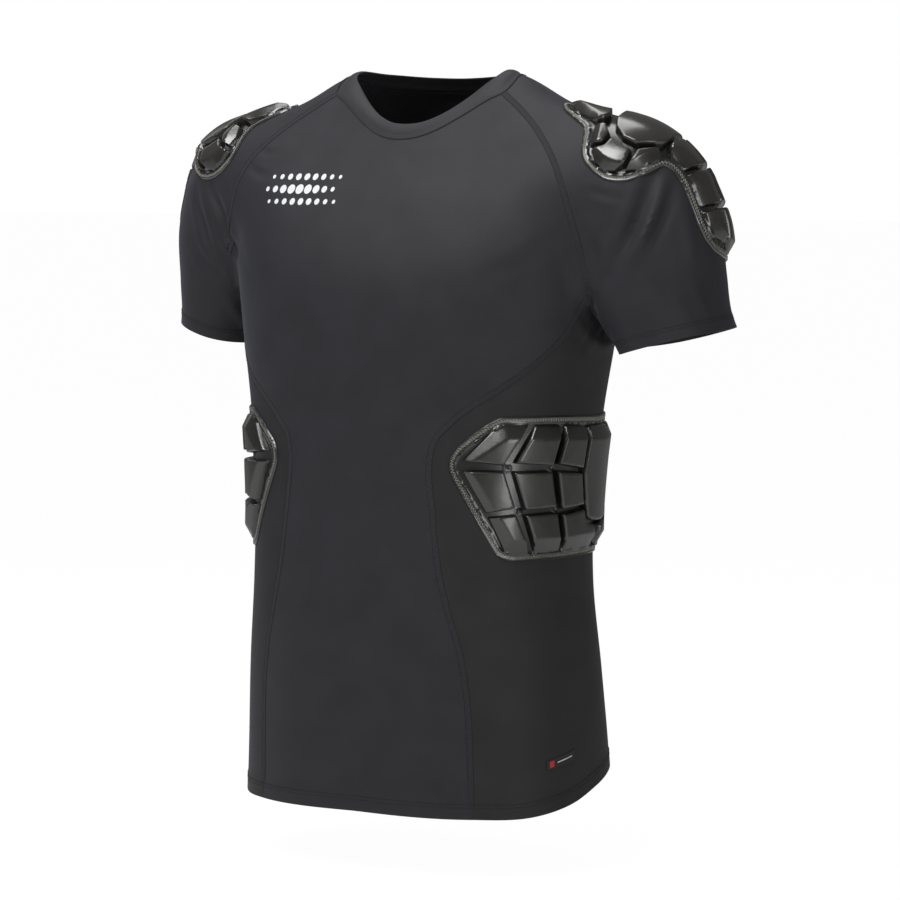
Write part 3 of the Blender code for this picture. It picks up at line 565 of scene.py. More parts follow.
def trimmed_tips(ring, places):
    """Cut off a sharp corner where the two edges that lead to it cross."""
    for i in range(len(ring) - 3):
        for j in range(i + 2, min(i + 14, len(ring) - 1)):
            first = places[i + 1] - places[i]
            second = places[j + 1] - places[j]
            between = places[j] - places[i]
            turn = first[0] * second[1] - first[1] * second[0]
            if abs(turn) < 1e-9:
                continue
            share = (between[0] * second[1] - between[1] * second[0]) / turn
            other = (between[0] * first[1] - between[1] * first[0]) / turn
            if 0 <= share <= 1 and 0 <= other <= 1:
                tip = ring[i] + (ring[i + 1] - ring[i]) * share
                tip_place = places[i] + first * share
                ring = np.vstack([ring[:i + 1], tip, ring[j + 1:]])
                places = np.vstack([places[:i + 1], tip_place, places[j + 1:]])
                return trimmed_tips(ring, places)
    return ring, places


def cut_panel(borders, to_flat, to_figure, flat_ring=None):
    """Points laid over a panel's outline, their triangles and their places in the flat cloth."""
    ring = outline_of(borders)
    ring_places = to_flat(ring) if flat_ring is None else flat_ring(ring)
    ring, ring_places = trimmed_tips(ring, ring_places)
    inner = even_places(ring_places, CLOTH_STEP)
    inner = inner[clearance(inner, ring_places) > 0.5 * CLOTH_STEP]
    points = np.vstack([ring, to_figure(inner)])
    flat = np.vstack([ring_places, inner])
    faces = faced_outward(points, triangles_of(flat, [list(range(len(ring)))]))
    return points, faces, flat


def piece_from(name, points, faces, material, flat=None, flat_edges=35):
    mesh = bpy.data.meshes.new(name)
    mesh.from_pydata((np.asarray(points) * MM).tolist(), [], [[int(i) for i in face] for face in faces])
    if flat is not None:
        corner_vertices = np.zeros(len(mesh.loops), int)
        mesh.loops.foreach_get("vertex_index", corner_vertices)
        places = mesh.uv_layers.new(name="cloth")
        places.data.foreach_set("uv", (np.asarray(flat)[corner_vertices] * MM).ravel())
    mesh.polygons.foreach_set("use_smooth", [True] * len(mesh.polygons))
    mesh.set_sharp_from_angle(angle=math.radians(flat_edges))
    mesh.materials.append(material)
    item = bpy.data.objects.new(name, mesh)
    bpy.context.scene.collection.objects.link(item)
    return item


def sew_panel(name, points, faces, flat, material, fold):
    """Two skins of cloth with a rim between them, creased, and thicker at the folded hem."""
    outward = outward_at(points)
    outward[np.abs(points[:, 0]) < 0.001, 0] = 0
    lift = crease_rise(points)[:, None] * outward
    doubled = fold(points)[:, None]
    outer = points + lift + outward * (CLOTH_WALL / 2 + FOLD_OUT * doubled)
    inner = points + lift - outward * (CLOTH_WALL / 2 + FOLD_IN * doubled)
    count = len(points)
    skins = [list(face) for face in faces] + [[i + count for i in reversed(face)] for face in faces]
    joined = {(a, b) for face in faces for a, b in zip(face, face[1:] + face[:1])}
    skins += [[b, a, a + count, b + count] for a, b in joined if (b, a) not in joined]
    return piece_from(name, np.vstack([outer, inner]), skins, material, np.vstack([flat, flat]), 50)


def strip_faces(rows, count):
    """Four-sided faces between rows of points, each row with the same count."""
    return [[r * count + i, r * count + i + 1, (r + 1) * count + i + 1, (r + 1) * count + i]
            for r in range(rows - 1) for i in range(count - 1)]


def new_material(name):
    material = bpy.data.materials.new(name)
    material.use_nodes = True
    nodes = material.node_tree.nodes
    return material, nodes, material.node_tree.links, nodes["Principled BSDF"]


def set_inputs(node, **values):
    """Set a node's inputs by name, with _ for each space in a name."""
    for socket, value in values.items():
        node.inputs[socket.replace("_", " ")].default_value = value
    return node


def texture(nodes, links, kind, place, **values):
    node = set_inputs(nodes.new("ShaderNodeTex" + kind), **values)
    links.new(place, node.inputs["Vector"])
    return node


def cloth_place(nodes):
    place = nodes.new("ShaderNodeUVMap")
    place.uv_map = "cloth"
    return place.outputs["UV"]


def shades_of(nodes, links, amount, colour, dark, light, low=0.0, high=1.0):
    """The colour, darker where the amount is low and lighter where it is high."""
    ramp = nodes.new("ShaderNodeValToRGB")
    for element, strength, position in zip(ramp.color_ramp.elements, (dark, light), (low, high)):
        element.position = position
        element.color = (*[strength * c for c in colour], 1)
    links.new(amount, ramp.inputs["Fac"])
    return ramp.outputs["Color"]


def add_bump(nodes, links, shader, height, strength, distance):
    bump = set_inputs(nodes.new("ShaderNodeBump"), Strength=strength, Distance=distance)
    links.new(height, bump.inputs["Height"])
    links.new(bump.outputs["Normal"], shader.inputs["Normal"])


def multiplied(nodes, links, first, second, share):
    mix = nodes.new("ShaderNodeMix")
    mix.data_type = "RGBA"
    mix.blend_type = "MULTIPLY"
    mix.inputs["Factor"].default_value = share
    links.new(first, mix.inputs["A"])
    links.new(second, mix.inputs["B"])
    return mix.outputs["Result"]


def interlock_knit(name, colour, sheen):
    """Fine ribs of loops half a millimetre apart, slightly cloudy, with a dry satin sheen."""
    material, nodes, links, shader = new_material(name)
    place = cloth_place(nodes)
    wales = texture(nodes, links, "Wave", place, Scale=320, Distortion=1.2, Detail=1, Detail_Scale=2)
    wales.bands_direction = "X"
    courses = texture(nodes, links, "Wave", place, Scale=420, Distortion=1.0)
    courses.bands_direction = "Y"
    cloudy = texture(nodes, links, "Noise", place, Scale=26, Detail=4)
    lint = texture(nodes, links, "Noise", place, Scale=900, Detail=2)
    loops = nodes.new("ShaderNodeMath")
    loops.operation = "MULTIPLY"
    links.new(wales.outputs["Fac"], loops.inputs[0])
    links.new(courses.outputs["Fac"], loops.inputs[1])
    depth = nodes.new("ShaderNodeMath")
    depth.operation = "MULTIPLY_ADD"
    depth.inputs[1].default_value = 0.35
    links.new(lint.outputs["Fac"], depth.inputs[0])
    links.new(loops.outputs[0], depth.inputs[2])
    add_bump(nodes, links, shader, depth.outputs[0], 0.35, 0.00012)
    shades = shades_of(nodes, links, cloudy.outputs["Fac"], colour, 0.86, 1.12, 0.3, 0.72)
    between = multiplied(nodes, links, shades, loops.outputs[0], 0.35)
    links.new(between, shader.inputs["Base Color"])
    set_inputs(shader, Roughness=0.62, Specular_IOR_Level=0.3, Sheen_Weight=sheen, Sheen_Roughness=0.45,
               Sheen_Tint=(0.62, 0.65, 0.75, 1))
    return material


body_knit = interlock_knit("charcoal_interlock_knit", (0.0325, 0.0325, 0.0385), 0.10)


def front_panel_cut():
    hem = hem_piece(0, front_turn, SEAM_STEP)
    hem[0, 0] = 0
    hem[-1] = front_side[-1]
    borders = [
        edge_border(hem),
        seam_border(front_side, -half_gap, True),
        seam_border(raglan_front, -half_gap, True),
        seam_border(neck_front, -half_gap, True),
        edge_border(middle_line(neck_front[0], hem[0], -1)),
    ]
    return cut_panel(borders, lambda p: face_flat(p, -1), lambda f: face_place(f, -1))


front = sew_panel("front_cloth", *mirrored_whole(*front_panel_cut()), body_knit, hem_fold)
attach(front, "root")
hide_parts("front_panel")

# Back panel
# The same knit in one piece from shoulder to shoulder, a little shorter at the hem.
# Its edges meet the sleeves and side panels in flat seams, as on the front.


def back_panel_cut():
    hem = hem_piece(back_turn, 180, SEAM_STEP)
    hem[-1, 0] = 0
    hem[0] = back_side[-1]
    borders = [
        edge_border(hem),
        edge_border(middle_line(neck_back[-1], hem[-1], 1)[::-1]),
        seam_border(neck_back, -half_gap, True),
        seam_border(raglan_back, -half_gap, True),
        seam_border(back_side, half_gap),
    ]
    return cut_panel(borders, lambda p: face_flat(p, 1), lambda f: face_place(f, 1))


back = sew_panel("back_cloth", *mirrored_whole(*back_panel_cut()), body_knit, hem_fold)
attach(back, "root")
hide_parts("back_panel")

# Side panels
# A softer, slightly darker knit under each arm that carries the rib pads. Each is one
# piece, narrow at the waist seams and wide below, cut alike and turned over for the other side.
side_knit = interlock_knit("charcoal_side_knit", (0.027, 0.027, 0.029), 0.06)


def side_panel_cut():
    hem = hem_piece(front_turn, back_turn, SEAM_STEP)
    hem[0] = front_side[-1]
    hem[-1] = back_side[-1]
    borders = [
        edge_border(hem),
        seam_border(back_side, -half_gap, True),
        seam_border(under_back, -half_gap, True),
        seam_border(under_front, -half_gap, True),
        seam_border(front_side, half_gap),
    ]
    return cut_panel(borders, side_flat, side_place)


def turned_over(points, faces, flat):
    """The same cut for the other side of the wearer."""
    return points * (-1, 1, 1), [face[::-1] for face in faces], flat * (-1, 1)


side_cut = side_panel_cut()
for side, cut in (("left", side_cut), ("right", turned_over(*side_cut))):
    side_piece = sew_panel("side_cloth_" + side, *cut, side_knit, hem_fold)
    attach(side_piece, "root")
    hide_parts("side_panel_" + side)

# Sleeves
# Raglan sleeves cut in one piece from the neck to above the elbow, with one seam beneath the
# arm and a folded cuff. Both are the body's knit; the wearer's arm fills them to a tube.
SLEEVE_LENGTH = 319
CUFF_OUTER_DROP = 11
CUFF_FRONT_DROP = 4
CAP_MM_PER_DEGREE = 1.25
SLEEVE_LINE = np.array([
    # along, x, y, z, tilt
    (-40, 56, 12, -47, 19),
    (0, 94, 12, -60, 19),
    (70, 148, 14, -85, 26),
    (130, 178, 20, -108, 46),
    (190, 195, 26, -140, 61),
    (250, 215, 32, -186, 67),
    (320, 238, 40, -242, 67),
    (350, 248, 44, -266, 67),
])


ARM_ALONE_FROM = 200


def sleeve_frame(along):
    origin = np.column_stack([read(SLEEVE_LINE, c, along) for c in (1, 2, 3)])
    tilt = np.radians(read(SLEEVE_LINE, 4, along))
    upward = np.column_stack([np.sin(tilt), tilt * 0, np.cos(tilt)])
    onward = np.column_stack([np.cos(tilt), tilt * 0, -np.sin(tilt)])
    return origin, upward, onward


def sleeve_place(flat):
    origin, upward, _ = sleeve_frame(flat[:, 0])
    turn = np.radians(flat[:, 1] / CAP_MM_PER_DEGREE)[:, None]
    direction = np.cos(turn) * upward + np.sin(turn) * np.array((0, -1, 0))
    whole = cast(origin, direction, 200, 80)
    limb = cast(origin, direction, 200, 80, arm_distance)
    return np.where(flat[:, :1] > ARM_ALONE_FROM, snap(limb), whole)


def cuff_along(across):
    """Where the cuff ends at each place round the arm: lower outside and in front."""
    turn = np.radians(across / CAP_MM_PER_DEGREE)
    return SLEEVE_LENGTH + CUFF_OUTER_DROP * np.cos(turn) + CUFF_FRONT_DROP * np.sin(turn)


def sleeve_flat(points):
    places = np.linspace(-40, 350, 781)
    origin, upward, onward = sleeve_frame(places)
    offset = points[:, None, :] - origin[None, :, :]
    ahead = (offset * onward[None, :, :]).sum(axis=2)
    away = np.linalg.norm(offset, axis=2)
    crossing = (ahead[:, :-1] >= 0) & (ahead[:, 1:] < 0)
    chosen = np.where(crossing, away[:, :-1], 1e9).argmin(axis=1)
    rows = np.arange(len(points))
    share = ahead[rows, chosen] / (ahead[rows, chosen] - ahead[rows, chosen + 1])
    along = places[chosen] + share * (places[1] - places[0])
    rise = (offset[rows, chosen] * upward[chosen]).sum(axis=1)
    turn = np.degrees(np.arctan2(-offset[rows, chosen, 1], rise))
    return np.column_stack([along, turn * CAP_MM_PER_DEGREE])


def sleeve_underseam():
    top_along, top_turn = sleeve_flat(under_front[-1:])[0]
    full = 180 * CAP_MM_PER_DEGREE
    if top_turn < 0:
        top_turn += 2 * full
    seam_length = cuff_along(full) - top_along
    share = np.linspace(0, 1, round(seam_length / SEAM_STEP) + 1)
    turns = top_turn + (full - top_turn) * share
    line = sleeve_place(np.column_stack([top_along + seam_length * share, turns]))
    line[0] = under_front[-1]
    return line


def sleeve_cut():
    full = 180 * CAP_MM_PER_DEGREE
    seam = underseam
    cuff_turns = np.linspace(full, -full, round(2 * full / SEAM_STEP) + 1)
    cuff = sleeve_place(np.column_stack([cuff_along(cuff_turns), cuff_turns]))
    cuff[0] = seam[-1]
    cuff[-1] = seam[-1]
    borders = [
        seam_border(raglan_front, half_gap),
        seam_border(under_front, half_gap),
        seam_border(seam, half_gap),
        edge_border(cuff),
        seam_border(seam, -half_gap, True),
        seam_border(under_back, half_gap),
        seam_border(raglan_back, half_gap),
        seam_border(neck_top, -half_gap, True),
    ]
    lengths = [len(points) - 1 for points, _ in borders]
    last_front = sum(lengths[:3])
    last_cuff = sum(lengths[:4])

    def flat_ring(ring):
        flat = sleeve_flat(ring)
        order = np.arange(len(ring))
        near_under = np.abs(flat[:, 1]) > 0.5 * full
        flat[near_under & (order <= last_front) & (flat[:, 1] < 0), 1] += 2 * full
        flat[near_under & (order >= last_cuff) & (flat[:, 1] > 0), 1] -= 2 * full
        cuff_rows = (order >= last_front) & (order <= last_cuff)
        flat[cuff_rows, 1] = cuff_turns[:cuff_rows.sum()]
        return flat

    return cut_panel(borders, sleeve_flat, sleeve_place, flat_ring)


def cuff_fold(points):
    flat = sleeve_flat(points * np.where(points[:, :1] < 0, (-1, 1, 1), (1, 1, 1)))
    return np.clip((HEM_DEPTH - cuff_along(flat[:, 1]) + flat[:, 0]) / FOLD_STEP, 0, 1)


underseam = sleeve_underseam()
sleeve_pattern = sleeve_cut()
for side, cut in (("left", sleeve_pattern), ("right", turned_over(*sleeve_pattern))):
    sleeve_piece = sew_panel("sleeve_cloth_" + side, *cut, body_knit, cuff_fold)
    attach(sleeve_piece, "root")
    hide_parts("sleeve_" + side)

# Flat seams
# The panels meet edge to edge under a band of cover stitching about six millimetres wide, sewn
# with soft textured thread in the cloth's colour, so that no ridge rubs beneath the pads.
SEAM_WIDTH = 5.8
SEAM_BULK = 0.26
STITCH = 2.7
STITCH_GAP = 0.45
THREAD = 0.3
THREAD_SIDES = 5
NEEDLE_PLACE = 0.45


def seam_knit(name, colour):
    """The seam's looping thread: short bars across the band, a little darker at its edges."""
    material, nodes, links, shader = new_material(name)
    place = cloth_place(nodes)
    bars = texture(nodes, links, "Wave", place, Scale=210, Distortion=2.5, Detail=2, Detail_Scale=3)
    bars.bands_direction = "X"
    add_bump(nodes, links, shader, bars.outputs["Fac"], 0.6, 0.0003)
    shades = shades_of(nodes, links, bars.outputs["Fac"], colour, 0.62, 1.15)
    links.new(shades, shader.inputs["Base Color"])
    set_inputs(shader, Roughness=0.75, Specular_IOR_Level=0.2, Sheen_Weight=0.05)
    return material


seam_thread_knit = seam_knit("charcoal_cover_stitch", (0.033, 0.033, 0.037))


def spun_thread(name, colour, roughness):
    """Twisted thread, mottled along its length."""
    material, nodes, links, shader = new_material(name)
    place = nodes.new("ShaderNodeTexCoord").outputs["Object"]
    plies = texture(nodes, links, "Noise", place, Scale=1400)
    shades = shades_of(nodes, links, plies.outputs["Fac"], colour, 0.6, 1.2, 0.35, 0.65)
    links.new(shades, shader.inputs["Base Color"])
    set_inputs(shader, Roughness=roughness, Sheen_Weight=0.04)
    return material


# Near-black thread colour, also used for the painted shade strip along the neck seam
dark_thread_and_painted_shade = spun_thread("charcoal_thread_and_painted_shade", (0.007, 0.007, 0.008), 0.75)


def seam_cover(name, line):
    """A low band along a seam, grooved where its two needle rows pull it down."""
    across = sideways(line, 1.0)
    outward = outward_at(line)
    lift = crease_rise(line)[:, None]
    half = SEAM_WIDTH / 2
    profile = [(-half, -0.8), (-0.9 * half, -0.5), (-0.74 * half, 0.9), (-0.4 * half, 1.0), (0, 0.9),
               (0.4 * half, 1.0), (0.74 * half, 0.9), (0.9 * half, -0.5), (half, -0.8)]
    rows = [line + across * out + outward * (CLOTH_WALL / 2 + SEAM_BULK * up + lift) for out, up in profile]
    faces = strip_faces(len(rows), len(line))
    run = run_along(line)
    flat = np.vstack([np.column_stack([run, run * 0 + out]) for out, up in profile])
    points = np.vstack(rows)
    return piece_from(name, points, faced_outward(points, faces), seam_thread_knit, flat)


def along_line(line, spacing):
    """Even distances along a line, as points on it."""
    run = run_along(line)
    at = np.arange(spacing * 0.5, run[-1], spacing)
    return lambda offset: np.column_stack([np.interp(at + offset, run, line[:, c]) for c in range(3)])


def sewn_threads(name, starts, ends, outward, radius, material):
    """Short stitches as round threads that rise out of the cloth and dive back in."""
    span = ends - starts
    length = np.linalg.norm(span, axis=1, keepdims=True)
    onward = span / length
    outward = outward - onward * np.sum(outward * onward, axis=1, keepdims=True)
    outward = outward / np.linalg.norm(outward, axis=1, keepdims=True)
    beside = np.cross(onward, outward)
    rings = []
    for share, lift, width in ((0.0, -0.9, 0.7), (0.2, 0.35, 1.0), (0.8, 0.35, 1.0), (1.0, -0.9, 0.7)):
        centre = starts + span * share + outward * radius * lift
        for turn in np.arange(THREAD_SIDES) * 2 * math.pi / THREAD_SIDES:
            rings.append(centre + (outward * math.cos(turn) + beside * math.sin(turn)) * radius * width)
    points = np.stack(rings, axis=1).reshape(-1, 3)
    around = [(i, (i + 1) % THREAD_SIDES) for i in range(THREAD_SIDES)]
    tube = [[r + i, r + after, r + THREAD_SIDES + after, r + THREAD_SIDES + i]
            for r in (0, THREAD_SIDES, 2 * THREAD_SIDES) for i, after in around]
    faces = [[base + i for i in face] for base in range(0, len(points), 4 * THREAD_SIDES) for face in tube]
    return piece_from(name, points, faces, material, None, 80)


def needle_row(line, lift):
    places = along_line(line, STITCH + STITCH_GAP)
    starts = places(-STITCH / 2)
    ends = places(STITCH / 2)
    middle = (starts + ends) / 2
    outward = outward_at(middle)
    raised = outward * (lift + crease_rise(middle))[:, None]
    return starts + raised, ends + raised, outward


def stitch_rows(name, rows):
    starts, ends, outward = (np.vstack(part) for part in zip(*rows))
    return sewn_threads(name, starts, ends, outward, THREAD, dark_thread_and_painted_shade)


def swapped(line):
    """The mirror image of a line, run the other way."""
    return (line * (-1, 1, 1))[::-1]


seam_runs = {
    "front_raglan_seam": np.vstack([raglan_front, under_front[1:]]),
    "back_raglan_seam": np.vstack([under_back[:-1], raglan_back]),
    "front_side_seam": front_side,
    "back_side_seam": back_side,
    "underarm_seam": underseam,
}
seam_items = {}
for seam_name, left_line in seam_runs.items():
    for side, line in (("left", left_line), ("right", swapped(left_line))):
        cover = seam_cover(seam_name + "_" + side, line)
        needle_lines = [line + sideways(line, SEAM_WIDTH * NEEDLE_PLACE * hand) for hand in (-1, 1)]
        rows = [needle_row(needles, CLOTH_WALL / 2 + 0.02) for needles in needle_lines]
        sewing = stitch_rows(seam_name + "_stitches_" + side, rows)
        seam_items[seam_name, side] = [cover, sewing]
        for item in (cover, sewing):
            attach(item, "root")

# Hem and cuffs
# The raw edges are folded in by fifteen millimetres and held by two needle rows, so the
# cloth is a little thicker there and the rows sink into it.
STITCH_ROWS_DOWN = (-3.2, 0)
ROW_UNDER_FOLD = 1.2
FOLD_LIFT = 0.28
body_turns = np.linspace(-180, 180, 400)


def body_line(above_hem):
    heights = read(HEM_LINE, 1, np.abs(body_turns)) + above_hem
    return around_body(np.column_stack([body_turns, heights]))


def cuff_line(above_cuff, side):
    turns = np.linspace(180, -180, 160) * CAP_MM_PER_DEGREE
    line = sleeve_place(np.column_stack([cuff_along(turns) - above_cuff, turns]))
    return line if side == "left" else swapped(line)


hem_rows = [needle_row(body_line(HEM_DEPTH - ROW_UNDER_FOLD + up), CLOTH_WALL / 2 + FOLD_LIFT)
            for up in STITCH_ROWS_DOWN]
hem_sewing = stitch_rows("hem_stitches", hem_rows)
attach(hem_sewing, "root")
for side in ("left", "right"):
    cuff_rows = [needle_row(cuff_line(HEM_DEPTH - ROW_UNDER_FOLD + up, side), CLOTH_WALL / 2 + FOLD_LIFT)
                 for up in STITCH_ROWS_DOWN]
    cuff_sewing = stitch_rows("cuff_stitches_" + side, cuff_rows)
    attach(cuff_sewing, "root")

# Collar band
# A doubled strip of the body knit, cut on the stretch and sewn round the neck so that it
# stands a little proud of the seam and rolls over softly at its free edge.
BAND_EDGE = [
    # out, back, up
    (0, -35, -46),
    (16, -33.5, -44.5),
    (31, -29, -39),
    (46, -22, -30),
    (58, -15, -20.5),
    (70, -7.5, -9.5),
    (77, -2, -3),
    (79.5, 5, 1),
    (79.5, 13, 3),
    (77, 23, 2.5),
    (71, 34, 1),
    (57, 47, -0.5),
    (40, 55, -2),
    (20, 59, -3),
    (0, 60, -3.5),
]

BAND_WALL = 2.0
BAND_BOW = 1.2
BAND_TIP = 0.8
collar_knit = interlock_knit("charcoal_collar_knit", (0.037, 0.037, 0.042), 0.16)


def band_lines():
    seam = np.vstack([neck_front[:-1], neck_top[:-1], neck_back])
    free = seam_pieces(BAND_EDGE, (0, len(BAND_EDGE) - 1), SEAM_STEP, False)[0]
    share = np.linspace(0, 1, len(seam))
    free_share = np.linspace(0, 1, len(free))
    free = np.column_stack([np.interp(share, free_share, free[:, c]) for c in range(3)])
    flat_part = sideways(seam, 1.0)
    bow = outward_at(seam)
    for move in (flat_part, bow):
        move[0, 0] = move[-1, 0] = 0
    seam[0, 0] = seam[-1, 0] = free[0, 0] = free[-1, 0] = 0
    turned = seam + flat_part * 4
    rows = [seam + flat_part * SEAM_GAP, seam + flat_part * 2]
    for part in np.linspace(0, 1, 9):
        rows.append(turned * (1 - part) + free * part + bow * BAND_BOW * math.sin(math.pi * part))
    whole = [np.vstack([row, (row * (-1, 1, 1))[-2:0:-1]]) for row in rows]
    return np.stack(whole)


def collar():
    rows = band_lines()
    up = np.gradient(rows, axis=0)
    along = np.roll(rows, -1, axis=1) - np.roll(rows, 1, axis=1)
    outward = np.cross(along, up)
    outward = outward / np.linalg.norm(outward, axis=2, keepdims=True)
    if np.sum(outward[0] * outward_at(rows[0])) < 0:
        outward = -outward
    half = np.full(len(rows), BAND_WALL / 2)
    half[0] = 0.45 * BAND_WALL / 2
    half[1] = 0.85 * BAND_WALL / 2
    half[-1] = 0.8 * BAND_WALL / 2
    half = half[:, None, None]
    onward = rows[-1] - rows[-2]
    tip = rows[-1] + onward / np.linalg.norm(onward, axis=1, keepdims=True) * BAND_TIP
    loop = list(rows + outward * half) + [tip] + list((rows - outward * half)[::-1])
    count = rows.shape[1]
    faces = []
    for r in range(len(loop)):
        below = (r + 1) % len(loop)
        for i in range(count):
            ahead = (i + 1) % count
            faces.append([r * count + i, r * count + ahead, below * count + ahead, below * count + i])
    run = np.linalg.norm(rows[0] - np.roll(rows[0], 1, axis=0), axis=1).cumsum()
    flat = np.vstack([np.column_stack([run, run * 0 + 1.9 * r]) for r in range(len(loop))])
    points = np.vstack(loop)
    outer_part = faces[:count * (len(rows) - 1)]
    if faced_outward(points, outer_part)[0] != outer_part[0]:
        faces = [face[::-1] for face in faces]
    return piece_from("collar_cloth", points, faces, collar_knit, flat, 60)


collar_piece = collar()
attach(collar_piece, "root")
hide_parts("collar_band")

# Neck tape
# A soft woven tape inside the back of the neck covers the seam so that it doesn't rub.
TAPE_WIDTH = 9.0


def neck_tape():
    whole = np.vstack([neck_back, swapped(neck_back)[1:]])
    whole = whole[2:-2]
    down = -sideways(whole, 1.0)
    outward = outward_at(whole)
    rows = []
    for share, lift in ((0, 0.1), (0.06, 0.5), (0.5, 0.6), (0.94, 0.5), (1, 0.1)):
        rows.append(whole + down * TAPE_WIDTH * share - outward * (CLOTH_WALL / 2 + 0.1 + lift))
    faces = strip_faces(len(rows), len(whole))
    run = run_along(whole)
    flat = np.vstack([np.column_stack([run, run * 0 + 2.2 * r]) for r in range(len(rows))])
    points = np.vstack(rows)
    faces = [face[::-1] for face in faced_outward(points, faces)]
    return piece_from("neck_tape", points, faces, seam_thread_knit, flat)


tape = neck_tape()
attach(tape, "root")

# Neck seam shade
# The collar is joined to the panels by a turned seam. The shade in the groove along it is painted as a
# near-black strip round the neck.
NECK_SHADE_WIDTH = 1.9


def painted_neck_shade():
    half = np.vstack([neck_front, neck_top[1:], neck_back[1:]])
    whole = np.vstack([half, swapped(half)[1:]])
    across = sideways(whole, 1.0)
    outward = outward_at(whole)
    rows = [whole + across * NECK_SHADE_WIDTH * share + outward * (CLOTH_WALL / 2 + lift)
            for share, lift in ((-0.5, 0.2), (-0.3, 0.75), (0.3, 0.75), (0.5, 0.2))]
    faces = strip_faces(len(rows), len(whole))
    points = np.vstack(rows)
    return piece_from("neck_seam_painted_shade", points, faced_outward(points, faces), dark_thread_and_painted_shade)


neck_shade_strip = painted_neck_shade()
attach(neck_shade_strip, "root")

# Printed mark and hem tab
# A plain field of white dots is printed on the wearer's right chest, and a small woven tab
# with stripes is sewn above the hem on the left. Neither says anything.
DOT_FIRST = (-136, -94)
DOT_PITCH = (9.6, 11.2)
DOT_COLUMNS = 9
DOT_ROW_SHIFT = (0.9, 0.5, 1.1)
DOT_ROWS = 3
TAB_TURNS = (71.8, 82.6)
TAB_ABOVE_HEM = 43
TAB_HEIGHT = 9
DOT_SIDES = 16
DOT_SMALLEST = 1.2
DOT_GROWTH = (1.984, 3.2, 1.984)


def plain_colour(name, colour, roughness):
    material, _, _, shader = new_material(name)
    set_inputs(shader, Base_Color=(*colour, 1), Roughness=roughness)
    return material


def printed_dots():
    points = []
    faces = []
    turns = np.linspace(0, 2 * math.pi, DOT_SIDES + 1)[:-1]
    for column in range(DOT_COLUMNS):
        for row in range(DOT_ROWS):
            swell = math.sin(math.pi * (column + 1) / (DOT_COLUMNS + 1))
            radius = DOT_SMALLEST + DOT_GROWTH[row] * swell
            across = DOT_PITCH[0] * (column + DOT_ROW_SHIFT[row])
            middle = np.array(DOT_FIRST) + (across, -DOT_PITCH[1] * row)
            start = len(points)
            points.append(middle)
            points += list(middle + radius * np.column_stack([np.cos(turns), np.sin(turns)]))
            faces += [[start, start + 1 + i, start + 1 + (i + 1) % DOT_SIDES] for i in range(DOT_SIDES)]
    points = np.array(points)
    starts = np.column_stack([points[:, 0], points[:, 0] * 0 + 20, points[:, 1]])
    places = cast(starts, np.tile((0.0, -1.0, 0.0), (len(points), 1)))
    lift = CLOTH_WALL / 2 + 0.15 + crease_rise(places)
    places = places + outward_at(places) * lift[:, None]
    return piece_from("chest_dots", places, faced_outward(places, faces), print_white)


def tab_strip(name, first_turn, last_turn, low, high, lift, material):
    """A thin woven rectangle that follows the side of the body above the hem."""
    turns = np.linspace(first_turn, last_turn, 9)
    rows = []
    for height, rise in ((low, 0.0), (low + 0.3, lift), (high - 0.3, lift), (high, 0.0)):
        line = around_body(np.column_stack([turns, read(HEM_LINE, 1, turns) + TAB_ABOVE_HEM + height]))
        rows.append(line + outward_at(line) * (CLOTH_WALL / 2 + 0.1 + rise))
    points = np.vstack(rows)
    faces = strip_faces(len(rows), len(turns))
    return piece_from(name, points, faced_outward(points, faces), material)


print_white = plain_colour("white_print", (0.80, 0.81, 0.82), 0.5)
dots = printed_dots()
black_satin = plain_colour("black_satin", (0.010, 0.010, 0.011), 0.45)
red_weft = plain_colour("red_weft", (0.50, 0.015, 0.020), 0.5)
pale_weft = plain_colour("pale_weft", (0.62, 0.62, 0.62), 0.5)
tab_start, tab_end = TAB_TURNS
tab = tab_strip("hem_tab", tab_start, tab_end, -TAB_HEIGHT / 2, TAB_HEIGHT / 2, 0.5, black_satin)
tab_red = tab_strip("hem_tab_red_stripe", tab_start + 1.0, tab_start + 2.6, -3.0, 3.0, 0.65, red_weft)
tab_pale = tab_strip("hem_tab_pale_stripe", tab_start + 3.8, tab_end - 1.2, -0.7, 0.7, 0.65, pale_weft)
for item in (dots, tab, tab_red, tab_pale):
    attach(item, "root")

# Arm seams
# The raglan and underarm seam pieces of each side, gathered in a list.
for side in ("left", "right"):
    arm_seams = seam_items["front_raglan_seam", side] + seam_items["back_raglan_seam", side]
    arm_seams += seam_items["underarm_seam", side]

# Rib pads
# Foam cells pressed into one glossy, smoke-coloured urethane skin, whose thin rim is sewn
# to each side panel with pale zigzag thread. The cells stand apart so the pad can bend.
PAD_LIFT = 1.35
FLANGE_WALL = 1.1
CELL_RISE = 8.6
PAD_STEP = 1.5
RIM_WIDTH = 6.4
RIM_BEAD = 0.5
BEVEL_FOOT = 2.0
FOOT_OUT = 0.9
EDGE_RADIUS = 5
EDGE_STEP = 1.9
ZIGZAG_INNER = 1.9
ZIGZAG_OUTER = 4.9
ZIGZAG_PITCH = 2.6
ZIGZAG_THREAD = 0.24
RIB_BEVEL = 0.56
RIB_OUTLINE = [
    (97, -308), (76, -305), (58, -305), (54, -311), (48.8, -321.5), (43.5, -333), (41.3, -343), (41.2, -352),
    (42.6, -361), (45.2, -373.5), (48.8, -391), (52.4, -409), (56.5, -430), (61, -434.5), (76, -434),
    (97, -433),
]
